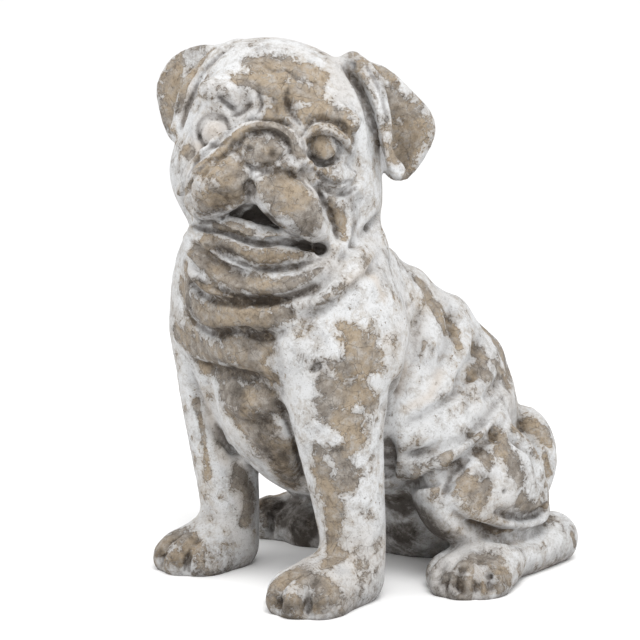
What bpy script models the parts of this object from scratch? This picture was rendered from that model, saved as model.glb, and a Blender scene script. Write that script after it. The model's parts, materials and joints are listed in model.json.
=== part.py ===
"""Sitting pug puppy, a cast stone garden statue.

The statue is one solid that stands on its four paws and its rump. It is modelled as a sculptor
would: soft masses are pressed together in a block of voxels, folds are rolled on and creases cut
in, and the skin of the block becomes the mesh. The pose and the carving are shares of the height,
in units of about a hundredth of it. The front of the body faces -Y, and +X is the dog's left.
"""

import math

import bmesh
import bpy
import numpy as np
from mathutils import Euler, Matrix, Vector

STATUE_HEIGHT = 0.38  # metres, from the ground to the crown of the head
CROWN = 100.56  # height of the crown of the head, in units
UNIT = STATUE_HEIGHT / CROWN
VOXEL = 0.7  # side of a voxel, in units
TRIANGLES = 9700  # of the finished solid
FACE_CENTRE = (9.3, -33.5, 80.0)
FACE_REACH = 17.0  # how far from its centre the face is thinned less than the body
FACE_SHARE = 0.5  # of the body's thinning weight that the face has
FACE_CARE = 0.007  # how much that weight counts

WELD = 1e-5  # metres, closest that the ground cut leaves two points
STONE_COLOUR = (0.5, 0.46, 0.41, 1)
STONE_ROUGHNESS = 0.9

BLOCK_LOW = (-42.0, -44.0, -4.0)
BLOCK_HIGH = (42.0, 44.0, 106.0)
FAR = 40.0  # distance that empty voxels start with
BODY = Matrix.Identity(4)
MIRROR = Matrix.Scale(-1, 4, (1, 0, 0))
SIDES = {"left": BODY, "right": MIRROR}

# Where the statue was looked at from. Its folds are drawn as they look from there, on a square
# sheet that fills the view: points are steps to the right and down from the sheet's top left.
EYE = (312.0, -268.0, 113.0)
EYE_TURN = 50.4  # degrees, towards the dog's left from its front
EYE_DROP = 9.1  # degrees, that the line of sight falls
SHEET = 640  # steps along a side of the sheet
SHEET_AWAY = 2200  # steps from the eye to the sheet
NEAREST, FARTHEST = 330.0, 470.0  # units from the eye, the statue lies between them

SEARCH_STEPS = 12  # that a point takes at most towards the skin
SEARCH_STEP = 2.0  # the longest of them, in units
STROKE_REACH = 2.4  # of a stroke's width, where its soft edge has ended
STROKE_DEPTH = 0.7  # how much of the distance from the skin counts as along the stroke
MIRRORED_SHARE = 0.7  # of a fold's height, on the side that the view hides

HEAD_CENTRE = (-2.2, -18.0, 79.8)
HEAD_TURN = 44.0  # degrees, towards the dog's left
HEAD_TILT = 10.0  # left ear lower than the right one


def frame_at(centre, turn=(0, 0, 0)):
    """A frame at that centre, turned by degrees about x, then y, then z."""
    return Matrix.Translation(centre) @ Euler([math.radians(a) for a in turn]).to_matrix().to_4x4()


HEAD = frame_at(HEAD_CENTRE, (0, 0, HEAD_TURN)) @ frame_at((0, 0, 0), (0, HEAD_TILT, 0))
SIGHT = frame_at(EYE, (-EYE_DROP, 0, EYE_TURN))


def smooth_path(points, per_span=5):
    """Points of a Catmull-Rom curve through the given ones, whatever their number of columns."""
    p = np.array(points, float)
    if len(p) == 2:
        return p[0] + np.linspace(0, 1, per_span + 1)[:, None] * (p[1] - p[0])
    p = np.vstack([2 * p[0] - p[1], p, 2 * p[-1] - p[-2]])
    t = np.linspace(0, 1, per_span, endpoint=False)[:, None]
    spans = []
    for a, b, c, d in zip(p, p[1:], p[2:], p[3:]):
        spans.append(0.5 * (2 * b + (c - a) * t + (2 * a - 5 * b + 4 * c - d) * t**2
                            + (3 * b - a - 3 * c + d) * t**3))
    return np.vstack([*spans, p[-2:-1]])


class Clay:
    """A block of voxels that holds the distance to the skin, below zero inside it."""

    def __init__(self, low, high, step):
        self.low = np.array(low, float)
        self.step = step
        counts = np.ceil((np.array(high) - self.low) / step).astype(int) + 1
        self.field = np.full(counts, FAR, np.float32)

    def window(self, low, high):
        """The slices of the voxels between two corners, and the coordinates of those voxels."""
        first = np.floor((np.array(low) - self.low) / self.step).astype(int)
        last = np.ceil((np.array(high) - self.low) / self.step).astype(int) + 1
        first = np.clip(first, 0, self.field.shape)
        last = np.clip(last, first, self.field.shape)
        axes = [
            (self.low[i] + self.step * np.arange(first[i], last[i])).astype(np.float32)
            for i in range(3)
        ]
        return tuple(slice(a, b) for a, b in zip(first, last)), np.ix_(*axes)

    def local_window(self, place, reach):
        """The window round a frame's box of half-sides reach, with coordinates in that frame."""
        turned = np.abs(np.array(place.to_3x3())) @ np.array(reach, float)
        centre = np.array(place.translation)
        cut, (x, y, z) = self.window(centre - turned, centre + turned)
        rows = np.array(place.inverted(), np.float32)[:3]
        return cut, [r[0] * x + r[1] * y + r[2] * z + r[3] for r in rows]

    def merge(self, cut, shape, blend, carve=False):
        """Adds a shape to the window, or carves it out, with a fillet about as wide as blend."""
        sign = np.float32(-1 if carve else 1)
        old = sign * self.field[cut]
        fillet = np.maximum(blend - np.abs(old - shape), 0) ** 2 / (4 * blend)
        self.field[cut] = sign * (np.minimum(old, shape) - fillet)

    def ball(self, centre, radii, turn=(0, 0, 0), blend=4.0, frame=BODY, carve=False):
        """An ellipsoid, pressed on or carved out."""
        radii = np.array(radii, np.float32)
        place = frame @ frame_at(centre, turn)
        cut, q = self.local_window(place, radii + blend + 2)
        nearness = np.sqrt(sum((c / r) ** 2 for c, r in zip(q, radii)))
        slope = np.sqrt(sum((c / r**2) ** 2 for c, r in zip(q, radii))) + 1e-6
        self.merge(cut, nearness * (nearness - 1) / slope, blend, carve)

    def limb(self, points, blend=4.0, frame=BODY, carve=False, per_span=4):
        """A tapered tube through points of x, y, z and radius."""
        path = smooth_path([(*(frame @ Vector(p[:3])), p[3]) for p in points], per_span)
        room = path[:, 3].max() + blend + 2
        low, high = path[:, :3].min(0) - room, path[:, :3].max(0) + room
        cut, (x, y, z) = self.window(low, high)
        shape = np.full(self.field[cut].shape, FAR, np.float32)
        for a, b in zip(path, path[1:]):
            away, along = distance_to_span(x, y, z, a[:3], b[:3])
            np.minimum(shape, away - (a[3] + along * (b[3] - a[3])), out=shape)
        self.merge(cut, shape, blend, carve)

    def leaf(self, corners, thickness, curl, frame, blend=2.0, rounding=1.5):
        """A thin flap. Its outline has corners (across, up) in the frame, its faces look along y,
        and curl (across, up) bends it backwards by that share of each distance squared."""
        c = smooth_path([*corners, corners[0]], 3)[:-1]
        reach = [np.abs(c[:, 0]).max(), np.abs(c[:, 1]).max(), np.abs(c[:, 1]).max()]
        cut, (x, y, z) = self.local_window(frame, np.array(reach) + blend + 4)
        y = y - curl[0] * x * x - curl[1] * z * z
        inside = np.full(x.shape, False)
        edge = np.full(x.shape, FAR, np.float32)
        for (ax, az), (bx, bz) in zip(c, np.roll(c, -1, 0)):
            span = np.array([bx - ax, bz - az])
            t = np.clip(((x - ax) * span[0] + (z - az) * span[1]) / (span @ span), 0, 1)
            edge = np.minimum(edge, np.hypot(x - ax - t * span[0], z - az - t * span[1]))
            if bz != az:
                crossing = (az > z) != (bz > z)
                inside ^= crossing & (x < (bx - ax) * (z - az) / (bz - az) + ax)
        outline = np.where(inside, -edge, edge) - rounding
        face = np.abs(y) - thickness / 2
        shape = np.maximum(outline, face)
        fillet = np.maximum(rounding - np.abs(outline - face), 0) ** 2 / (4 * rounding)
        self.merge(cut, (shape + fillet).astype(np.float32), blend)

    def depth_at(self, points):
        """The field at points of x, y and z, between voxels too."""
        place = (points - self.low) / self.step
        place = np.clip(place, 0, np.array(self.field.shape) - 1.001)
        cell = place.astype(int)
        part = place - cell
        total = np.zeros(len(points))
        for corner in np.ndindex(2, 2, 2):
            share = np.prod(np.where(corner, part, 1 - part), axis=1)
            total += share * self.field[tuple((cell + corner).T)]
        return total

    def slope_at(self, points):
        """The outward direction of the field at each point."""
        steps = np.eye(3) * self.step
        slope = np.array([self.depth_at(points + s) - self.depth_at(points - s) for s in steps]).T
        return slope / (np.linalg.norm(slope, axis=1, keepdims=True) + 1e-9)

    def on_skin(self, points, frame):
        """The points moved onto the skin: two columns are steps on the sheet, and three columns are
        a place near the skin."""
        if len(points[0]) == 2:
            return np.array([self.seen(*p) for p in points])
        found = np.array([frame @ Vector(p) for p in points])
        for _ in range(SEARCH_STEPS):
            depth = np.clip(self.depth_at(found), -SEARCH_STEP, SEARCH_STEP)
            found -= self.slope_at(found) * depth[:, None]
        return found

    def seen(self, right, down):
        """Where the line of sight through a point of the sheet first meets the skin."""
        across = Vector((right - SHEET / 2, SHEET_AWAY, SHEET / 2 - down)).normalized()
        away = np.arange(NEAREST, FARTHEST, self.step / 2)
        line = np.array(EYE) + away[:, None] * np.array(SIGHT.to_3x3() @ across)
        inside = np.flatnonzero(self.depth_at(line) < 0)
        return line[inside[0] if len(inside) else len(away) // 2]

    def stroke(self, points, width, height, frame=BODY, ends=0.25):
        """A soft roll raised on the skin along a curve, or a crease where height is below zero.
        It fades over the share ends of its length at each end."""
        path = smooth_path(self.on_skin(points, frame))
        reach = STROKE_REACH * width + abs(height)
        cut, (x, y, z) = self.window(path.min(0) - reach, path.max(0) + reach)
        depth = np.minimum(np.abs(self.field[cut]), reach)
        height_at = np.zeros(depth.shape, np.float32)
        spans = len(path) - 1
        for i, (a, b) in enumerate(zip(path, path[1:])):
            away, along = distance_to_span(x, y, z, a, b)
            place = (i + along) / spans
            fade = np.clip(np.minimum(place, 1 - place) / ends, 0, 1)
            sideways = np.maximum(away**2 - STROKE_DEPTH * depth**2, 0)
            near = np.clip(3 - 3 * away / reach, 0, 1)
            shape = np.exp(-sideways / width**2) * fade * (2 - fade) * near
            np.maximum(height_at, shape, out=height_at)
        self.field[cut] -= height * height_at

    def close_pinches(self):
        """Fills the voxels where clay meets clay along an edge or at a corner only, so that the
        skin never touches itself."""
        inside = self.field < 0
        cells = tuple(n - 1 for n in inside.shape)
        corners = {c: inside[tuple(slice(i, i + n) for i, n in zip(c, cells))]
                   for c in np.ndindex(2, 2, 2)}
        found = True
        while found:
            found = False
            for axis in range(3):
                plane = np.moveaxis(inside, axis, 2)
                a, b, c, d = plane[:-1, :-1], plane[1:, :-1], plane[:-1, 1:], plane[1:, 1:]
                pinched = (a == d) & (b == c) & (a != b)
                found |= bool(pinched.any())
                for corner in (a, b, c, d):
                    corner |= pinched
            count = sum(corner.astype(np.int8) for corner in corners.values())
            for near in ((0, 0, 0), (1, 0, 0), (0, 1, 0), (0, 0, 1)):
                first, second = corners[near], corners[tuple(1 - i for i in near)]
                pinched = (first == second) & (count == np.where(first, 2, 6))
                found |= bool(pinched.any())
                for corner in corners.values():
                    corner |= pinched
        self.field[inside & (self.field >= 0)] = -0.05 * self.step

    def skin(self):
        """The zero level as points and four-cornered faces, by naive surface nets."""
        self.close_pinches()
        field = self.field
        inside = field < 0
        full = tuple(n - 1 for n in field.shape)
        count = np.zeros(full, int)
        for c in np.ndindex(2, 2, 2):
            count += inside[tuple(slice(i, i + n) for i, n in zip(c, full))]
        cells = np.argwhere((count > 0) & (count < 8))
        index = np.full(full, -1)
        index[tuple(cells.T)] = np.arange(len(cells))
        total = np.zeros((len(cells), 3))
        hits = np.zeros(len(cells))
        for start in np.ndindex(2, 2, 2):
            for axis in range(3):
                if start[axis]:
                    continue
                a = field[tuple((cells + start).T)]
                end = np.array(start) + np.eye(3, dtype=int)[axis]
                b = field[tuple((cells + end).T)]
                crossing = (a < 0) != (b < 0)
                t = a[crossing] / (a[crossing] - b[crossing])
                total[crossing] += start + t[:, None] * (end - np.array(start))
                hits += crossing
        points = self.low + self.step * (cells + total / hits[:, None])
        faces = []
        for axis in range(3):
            u, v = np.eye(3, dtype=int)[[(axis + 1) % 3, (axis + 2) % 3]]
            near = inside[tuple(slice(1, -1) if i != axis else slice(0, -1) for i in range(3))]
            far = inside[tuple(slice(1, -1) if i != axis else slice(1, None) for i in range(3))]
            edges = np.argwhere(near != far)
            outward = near[tuple(edges.T)]
            edges = edges + 1 - np.eye(3, dtype=int)[axis]
            ring = [index[tuple((edges - s).T)] for s in (0 * u, u, u + v, v)]
            quads = np.array(ring).T
            faces.append(np.where(outward[:, None], quads, quads[:, ::-1]))
        return points, np.vstack(faces)


def largest_piece(points, faces):
    """The mesh without any bubble that the carving left inside."""
    label = np.arange(len(points))
    while True:
        lowest = label.copy()
        np.minimum.at(lowest, faces.ravel(), np.repeat(label[faces].min(axis=1), 4))
        lowest = lowest[lowest]
        if np.array_equal(lowest, label):
            break
        label = lowest
    names, sizes = np.unique(label, return_counts=True)
    kept = label == names[sizes.argmax()]
    number = np.cumsum(kept) - 1
    return points[kept], number[faces[kept[faces[:, 0]]]]


def distance_to_span(x, y, z, a, b):
    """How far voxels are from a straight span, and how far along it they lie, from 0 to 1."""
    a, b = a.astype(np.float32), b.astype(np.float32)
    d = b - a
    along = ((x - a[0]) * d[0] + (y - a[1]) * d[1] + (z - a[2]) * d[2]) / max(d @ d, 1e-9)
    along = np.clip(along, 0, 1)
    away = np.sqrt((x - a[0] - along * d[0]) ** 2 + (y - a[1] - along * d[1]) ** 2
                   + (z - a[2] - along * d[2]) ** 2)
    return away, along


def press_torso(clay):
    """Chest, barrel, belly, sloping back and rump."""
    clay.limb([(0, -15.2, 63.6, 12.8), (0, -13, 56, 13), (0, -5.9, 49, 14.8), (0, 1.4, 42.4, 16.6),
               (0, 10.7, 33.6, 18.9), (0, 15.4, 26, 19.4), (0, 17.8, 14, 16.3)])
    clay.ball((0, -13, 45), (18.5, 14.5, 18), (10, 0, 0), blend=7)
    clay.ball((-2, -9.5, 33), (17, 16, 18.5), blend=6)
    clay.ball((-3, -18.5, 37), (12, 9.5, 15), (-8, 0, 0), blend=4)
    clay.ball((0, 2, 28), (20.5, 17, 13), blend=6)
    clay.ball((4, -8, 3), (19, 12, 12), blend=3, carve=True)
    clay.limb([(-18, 4, 2, 6.5), (-8, 13, 2, 7), (6, 21, 2, 7)], blend=3)


def press_neck(clay):
    """The thick neck with the rolls of skin that lie round it."""
    clay.limb([(0, -15, 54, 15.5), (-1, -17.5, 64, 15.3), (-2, -18, 73, 15)], blend=6)
    clay.ball((-14, -18.5, 55), (12.4, 11.5, 15), blend=6)
    clay.limb([(-15, -22, 62, 3.5), (-7, -30, 56, 4), (3, -31, 55, 4), (12, -27, 58, 3.5),
               (16, -18, 64, 3)])
    clay.limb([(-17, -19, 56, 3), (-9, -27, 49, 3.4), (0, -28.6, 47, 3.4), (8, -26, 49, 3)], blend=5)


def press_foreleg(clay, side):
    """Shoulder, upper arm and straight foreleg with its paw."""
    if side == "left":
        clay.ball((14, -16, 47), (10, 10.5, 15), blend=6)
        clay.limb([(14.5, -18.5, 44, 9.3), (15.2, -18.5, 34, 8.4), (16.4, -17.5, 22, 7),
                   (17.3, -16.5, 11, 6), (17.5, -17, 4, 6)], blend=3)
        press_forepaw(clay, frame_at((17.8, -18.5, 0), (0, 0, 3)))
    else:
        clay.ball((-18, -17, 46), (10, 11, 13), blend=6)
        clay.limb([(-19.5, -18.5, 44, 9), (-19.5, -19, 34, 7.6), (-18, -19, 22, 6.4),
                   (-16, -19, 11, 5.6), (-16, -19.4, 4, 5.2)], blend=3)
        press_forepaw(clay, frame_at((-16.6, -17.5, 0), (0, 0, -4)))


def press_forepaw(clay, frame):
    """A forepaw that points along -y from its ankle, with four toes."""
    clay.ball((0, -5.5, 3), (7, 9, 6.2), (10, 0, 0), blend=3, frame=frame)
    press_toes(clay, frame, 2.4)


def press_toes(clay, frame, blend):
    """Four toes, the middle two further forward, and the slits between them."""
    for across, forward, size in ((-5.3, -9.5, 2.8), (-1.9, -12, 3.3), (1.9, -12, 3.3), (5.3, -9.5, 2.8)):
        clay.ball((across, forward, 2.4), (size, size * 1.5, size * 1.25), blend=blend, frame=frame)
    for across, forward in ((-3.7, -13.2), (0, -15.4), (3.7, -13.2)):
        line = [(across, forward, 1), (across * 0.98, forward + 0.6, 4), (across * 0.9, forward + 3.4, 6.6)]
        clay.stroke(line, 0.7, -1, frame)


def press_hind_leg(clay, side):
    """Thigh, long flat foot with its toes, and heel."""
    frame = SIDES[side]
    clay.ball((20, 12, 17.8), (10.3, 13.5, 11.6), (0, 0, -6), blend=2, frame=frame)
    clay.ball((22, 5, 16.4), (6.8, 7.5, 8.6), (0, 0, -10), blend=2.5, frame=frame)
    clay.ball((19, 20.5, 12), (9, 8, 8.5), blend=3, frame=frame)
    clay.limb([(21.6, 30.4, 4, 5.2), (23.6, 21, 4, 5.3), (25.2, 10, 4, 5.3)], blend=1.6, frame=frame)
    foot = frame @ frame_at((25.6, 11.8, 0), (0, 0, 12))
    clay.ball((0, -6, 2.8), (7.4, 10, 5.2), (8, 0, 0), blend=2.4, frame=foot)
    press_toes(clay, foot, 2.2)


def press_tail(clay):
    """The tail, curled over the left of the rump."""
    clay.limb([(0, 33, 17, 3), (7, 32.4, 23.4, 3.2), (13.8, 30.8, 25.4, 3.2), (18.8, 29.4, 22.6, 3.1),
               (20.2, 28.8, 17.6, 2.8), (18.6, 28.6, 13, 2.3)], blend=1.1)
    clay.ball((14.5, 25, 17.5), (6, 5, 6.5), blend=3)


def press_head(clay):
    """Round skull, cheeks, brow, short muzzle and jaw."""
    clay.ball((0, 1, 3.6), (18.3, 16, 15.8), blend=5, frame=HEAD)
    clay.ball((0.3, 0, -6), (19.3, 14, 12.5), blend=5, frame=HEAD)
    clay.ball((-4, 1, 12), (11, 11, 7), blend=5, frame=HEAD)
    clay.ball((0.5, -10, -6), (14, 8.5, 10), blend=4, frame=HEAD)
    clay.ball((2, -9.5, -16.5), (13.5, 8, 7), blend=3, frame=HEAD)


def press_face(clay):
    """Eyes, brows, nose, and the two lobes of the upper lip over the open mouth."""
    clay.ball((-9.2, -11, 9.6), (5.8, 3, 3.2), (0, 0, 26), blend=3, frame=HEAD)
    clay.ball((9.6, -10.8, 8.8), (6, 3, 2.8), (0, 0, -30), blend=3, frame=HEAD)
    for side, across, out, height in (("left", 9.3, -12.5, 3.6), ("right", 9.6, -12.2, 2.2)):
        eye = HEAD @ SIDES[side] @ frame_at((across, out, height), (0, 0, 12))
        clay.ball((0, 0.4, 0), (5.4, 3.2, 5.2), blend=2.5, frame=eye)
        clay.ball((0, -3, 0), (3.6, 2.8, 3.6), blend=0.3, frame=eye, carve=True)
        clay.ball((0, -0.5, 0), (2.9, 2.6, 2.9), blend=0.1, frame=eye)
    lid = HEAD @ frame_at((9.3, -12.5, 3.6), (0, 0, 12))
    clay.limb([(-4, -2, -0.6, 0.5), (-3.2, -2.6, 2.2, 0.9), (0, -2.9, 3.5, 1.1), (3.2, -2.4, 2.2, 0.9),
               (4.2, -1.6, -0.6, 0.5)], blend=0.8, frame=lid)
    clay.limb([(14, -9.5, -4, 2), (14.5, -9, -1.5, 2), (12, -11.3, 0, 1.5)], blend=1, frame=HEAD)
    clay.ball((10, -12.3, -1.4), (4.2, 2.6, 2.8), (0, 15, 0), blend=1.2, frame=HEAD)
    clay.ball((-13.4, -10.2, -2.6), (3, 3, 3.6), blend=2, frame=HEAD)
    clay.limb([(-10.5, -13.8, -12.6, 1.6), (-4, -17.5, -11, 3), (4, -18, -11.5, 3.2),
               (12, -13.4, -13.2, 1.6)],
              blend=0.8, frame=HEAD, carve=True)
    clay.limb([(-9.8, -13, -12.6, 1.4), (-4, -15.9, -12.9, 1.9), (3, -16.5, -13.4, 1.9),
               (10.6, -13.4, -14, 1.3)],
              blend=0.5, frame=HEAD)
    clay.limb([(-10.4, -12.6, -15.6, 1.9), (-3.4, -16.4, -16.6, 2.6), (4, -17, -16.9, 2.9),
               (12.4, -13, -15.4, 2)],
              blend=0.4, frame=HEAD)
    clay.limb([(-11, -10.4, -17.4, 2.2), (-7.4, -13.6, -22.2, 3.1), (2, -15.8, -24.4, 3.4),
               (10, -13.8, -22.6, 3),
               (14.6, -9.6, -18, 2.2)], blend=1.2, frame=HEAD)
    clay.limb([(-2.6, -18.4, -3, 3.9), (-7.2, -16.6, -5, 5.7),
               (-9.8, -14.6, -9.4, 3.6)], blend=1, frame=HEAD)
    clay.limb([(1.3, -18.4, -4.4, 3.7), (6.6, -16.9, -7, 4.8),
               (12, -13.8, -10.8, 3.3)], blend=1, frame=HEAD)
    clay.ball((0, -14, 0.6), (7.5, 4, 4), blend=1, frame=HEAD)
    clay.ball((0.5, -18, 0.6), (6.1, 3.9, 4.5), (0, -3, 0), blend=0.8, frame=HEAD)
    clay.limb([(-14.8, -11, -9, 1), (-13.2, -13.4, -5.4, 1.5), (-10.2, -16.6, -1.2, 1.8),
               (-6, -18.2, 3.2, 1.9),
               (-1.2, -18.8, 5.6, 1.9), (3.3, -18.3, 4.9, 1.8), (6.5, -17, 1.5, 1.6),
               (8.4, -15.6, -2.6, 1.2)],
              blend=1, frame=HEAD)


def press_ears(clay):
    """Folded button ears, each a flap that hangs outwards from the top corner of the skull."""
    left = HEAD @ frame_at((18, 2, 9), (0, 0, 14))
    clay.leaf([(-9, 9), (-2, 8.6), (4.2, 4.8), (8.4, 1), (8.4, -3.6), (5.6, -9.4), (3.2, -9.2), (0.8, -4.4),
               (-2.6, 1), (-5.4, 5)], 2.8, (0.012, 0.012), left, blend=1.6, rounding=1)
    clay.limb([(10.5, 1, 18.4, 2), (14.5, -1.5, 15.6, 2.1), (17.5, -3, 10, 1.9), (19.8, -3.4, 4, 1.6),
               (22.5, -3, 0.6, 1.5)], blend=1.2, frame=HEAD)
    right = HEAD @ frame_at((-18, 2, 9), (0, 0, -22))
    clay.leaf([(8, 7), (1, 6.6), (-4.2, 3.6), (-6.4, -1.4), (-5, -6), (-2.6, -10), (0.2, -9.6), (2.4, -3),
               (4, 3)], 2.8, (0.012, 0.012), right, blend=1.6, rounding=1)
    clay.limb([(-11, 1, 16.6, 2), (-15, -1.6, 13, 2.1), (-17.8, -2.6, 8, 1.7), (-18.6, -2.4, 1, 1.4)],
              blend=1.2, frame=HEAD)


FACE_CREASES = (
    ("wrinkle over the right brow", 0.7, -0.9, ((219, 97), (227, 105), (236, 114))),
    ("inner end of the right brow", 0.8, -0.6, ((232, 118), (245, 108), (252, 96))),
    ("under the nose rope, right", 0.7, -1.1, ((198, 177), (208, 166), (222, 154), (238, 142))),
    ("under the nose rope, left", 0.6, -1.0,
     ((236, 139), (254, 132), (270, 133), (283, 141), (290, 154), (297, 168))),
    ("over the nose rope", 0.9, -1.0,
     ((188, 172), (206, 151), (230, 128), (260, 117), (284, 122), (298, 138))),
    ("forehead wrinkle, right", 0.7, -0.5, ((257, 92), (261, 103), (258, 115))),
    ("forehead wrinkle, middle", 0.7, -0.5, ((272, 96), (273, 106), (276, 116))),
    ("forehead wrinkle, left", 0.8, -0.6, ((286, 98), (290, 112), (298, 126))),
    ("over the left lid", 0.7, -0.7, ((302, 134), (308, 122), (322, 117), (338, 122), (350, 133))),
    ("beside the left eye", 0.8, -1.0, ((339, 150), (348, 158), (360, 168))),
    ("bag under the left eye, above", 0.6, -1.2, ((306, 152), (318, 163), (334, 161))),
    ("bag under the left eye, below", 0.8, -1.8,
     ((318, 172), (328, 186), (342, 194), (355, 186), (362, 170))),
    ("right ear and skull", 0.8, -1.3, ((232, 46), (206, 70), (195, 92), (186, 110), (180, 132))),
    ("right ear rim and flap", 0.8, -1.2, ((207, 54), (188, 78), (178, 102), (172, 126))),
    ("left ear and skull", 1.0, -1.8, ((344, 66), (360, 90), (371, 120), (378, 150), (384, 178))),
    ("left ear rim and flap", 0.8, -1.2, ((362, 62), (378, 90), (386, 120), (393, 150), (402, 172))),
    ("groove between the lobes", 0.8, -1.5, ((252, 168), (250, 182), (250, 198))),
    ("nose and right lobe", 0.6, -0.9, ((238, 152), (242, 162), (252, 169))),
    ("nose and left lobe", 0.7, -1.1, ((252, 169), (268, 167), (284, 158), (292, 150))),
    ("left cheek pouch", 2.0, -3.0, ((326, 196), (333, 212), (340, 228), (345, 240))),
    ("left lobe, outside", 0.9, -1.2, ((304, 168), (316, 184), (323, 196))),
    ("right lobe, outside", 0.9, -1.2, ((190, 176), (187, 196), (190, 214))),
    ("mouth", 0.55, -2.4,
     ((194, 225), (212, 226), (224, 231), (248, 241), (264, 243), (282, 241), (306, 246), (322, 249))),
    ("hollow in the left corner of the mouth", 1.1, -2.4, ((303, 246), (316, 249), (328, 249))),
    ("under the lower lip", 0.9, -1.5,
     ((206, 244), (228, 256), (258, 269), (290, 268), (318, 260), (334, 252))),
    ("under the chin", 1.0, -2.2,
     ((176, 246), (192, 270), (220, 290), (256, 299), (294, 297), (322, 282), (342, 256))),
    ("left cheek and neck", 0.9, -1.8, ((336, 262), (352, 246), (368, 230), (380, 214))),
    ("fold on the left cheek", 1.0, -0.8, ((352, 190), (362, 206), (360, 226), (350, 240))),
)

BODY_CREASES = (
    ("first neck fold, left", 1.0, -1.8, ((384, 252), (372, 272), (354, 290), (330, 308), (300, 320))),
    ("first neck fold, right", 0.9, -1.4, ((186, 272), (199, 292), (222, 303), (254, 302), (280, 302))),
    ("second neck fold", 1.0, -1.6,
     ((184, 304), (194, 322), (212, 334), (240, 332), (264, 340), (290, 330))),
    ("bib", 1.4, -0.8, ((190, 358), (210, 368), (236, 374), (256, 380), (276, 396))),
    ("under the breastbone", 1.2, -0.7, ((222, 412), (240, 422), (260, 424), (282, 414))),
    ("right foreleg and chest", 1.0, -1.4, ((188, 366), (196, 392), (212, 424), (236, 454), (264, 480))),
    ("left foreleg and chest", 1.1, -2.4, ((279, 404), (286, 420), (294, 440), (300, 464), (305, 490))),
    ("left foreleg, behind", 1.2, -2.6, ((394, 380), (391, 405), (389, 440), (389, 486))),
    ("shoulder fold", 1.5, -1.6, ((418, 314), (415, 345), (406, 375), (394, 400))),
    ("upper flank fold", 0.9, -1.5, ((480, 368), (460, 392), (430, 412), (403, 425))),
    ("middle flank fold", 0.9, -2.0, ((500, 398), (486, 416), (460, 438), (426, 452), (403, 457))),
    ("lower flank fold", 1.3, -2.5, ((506, 418), (494, 434), (470, 456), (440, 476), (403, 488))),
    ("thigh and flank", 1.3, -2.0, ((464, 462), (450, 476), (442, 498))),
    ("first back fold", 1.3, -1.5, ((446, 300), (452, 322), (446, 350), (434, 374))),
    ("second back fold", 1.3, -1.6, ((480, 338), (476, 354), (466, 372), (452, 394))),
    ("third back fold", 1.3, -1.4, ((503, 378), (494, 389), (485, 400))),
    ("under the knee", 1.1, -3.4, ((450, 510), (464, 524), (486, 532), (512, 538), (536, 534), (549, 520))),
    ("knee smile", 0.8, -2.0, ((495, 511), (513, 517), (531, 517), (547, 508))),
    ("tail and thigh", 1.3, -4.4, ((512, 437), (527, 445), (537, 460), (541, 480))),
    ("left toes, first", 0.8, -1.8, ((436, 584), (438, 572), (446, 560))),
    ("left toes, second", 0.9, -2.2, ((461, 592), (458, 578), (462, 564))),
    ("left toes, slit", 0.9, -3.2, ((494, 592), (491, 580), (486, 570))),
)

FOLDS_RAISED = (
    ("left flank, upper roll", 3.6, 1.2, ((468, 346), (458, 372), (440, 394), (416, 408))),
    ("left flank, middle roll", 3.0, 1.5, ((494, 376), (474, 402), (444, 425), (404, 441))),
    ("left flank, lower roll", 3.2, 2.0, ((512, 396), (492, 424), (460, 450), (428, 466), (402, 473))),
    ("left neck roll", 2.6, 1.4, ((392, 226), (380, 250), (360, 276), (334, 294), (306, 308))),
    ("right neck roll", 2.4, 1.6, ((186, 290), (199, 310), (222, 320), (250, 318), (276, 318))),
    ("right chest roll", 2.6, 1.4, ((184, 334), (200, 350), (226, 356), (256, 362), (282, 376))),
    ("edge of the upper lip", 0.7, 0.8,
     ((206, 221), (223, 226), (240, 234), (252, 238), (266, 237), (288, 236))),
    ("lip of the knee", 1.4, 0.9, ((500, 522), (518, 527), (536, 525), (548, 514))),
    ("breastbone", 3.0, 1.4, ((228, 400), (250, 404), (270, 400))),
    ("shoulder", 3.4, 1.4, ((402, 322), (398, 348), (388, 380))),
)

# Rolls across the back, each through places near the skin on the right, the spine and the left.
BACK_ROLLS = (
    (2.6, 0.9, ((-13, -4, 60), (0, 3, 57), (13, -4, 60))),
    (2.8, 1.2, ((-15, 2, 56), (0, 10, 51), (15, 2, 56))),
    (2.8, 1.6, ((-17, 10, 48), (0, 19, 44), (17, 10, 49))),
    (3.0, 1.9, ((-18, 16, 40), (0, 28, 36.5), (18, 16, 41))),
)


# Folds that the dog's right side has too, as it does not show in the front left view.
ON_BOTH_SIDES = ("left flank, upper roll", "left flank, middle roll", "left flank, lower roll",
                 "shoulder", "upper flank fold", "middle flank fold", "lower flank fold",
                 "thigh and flank", "shoulder fold", "under the knee", "left foreleg, behind")


# Small round holes: steps on the sheet, and the radius of each.
PITS = (
    ("right nostril", (248, 149), 0.75),
    ("left nostril", (272.5, 155), 0.85),
    ("hole between the left toes", (490, 577), 0.7),
    ("hollow of the mouth", (262, 214), 2.3),
    ("hollow of the mouth, right", (250, 218), 1.5),
    ("left corner of the mouth", (320, 249), 1.1),
)


def draw_folds(clay):
    """The creases, rolls and holes, as the front left view shows them."""
    for width, height, points in BACK_ROLLS:
        clay.stroke(points, width, height)
    for name, width, height, points in (*FOLDS_RAISED, *FACE_CREASES, *BODY_CREASES):
        if name in ON_BOTH_SIDES:
            clay.stroke(clay.on_skin(points, BODY), width, MIRRORED_SHARE * height, MIRROR)
        clay.stroke(points, width, height)
    for name, place, radius in PITS:
        clay.ball(clay.seen(*place), (radius, radius, radius), blend=0.3, carve=True)


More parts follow.
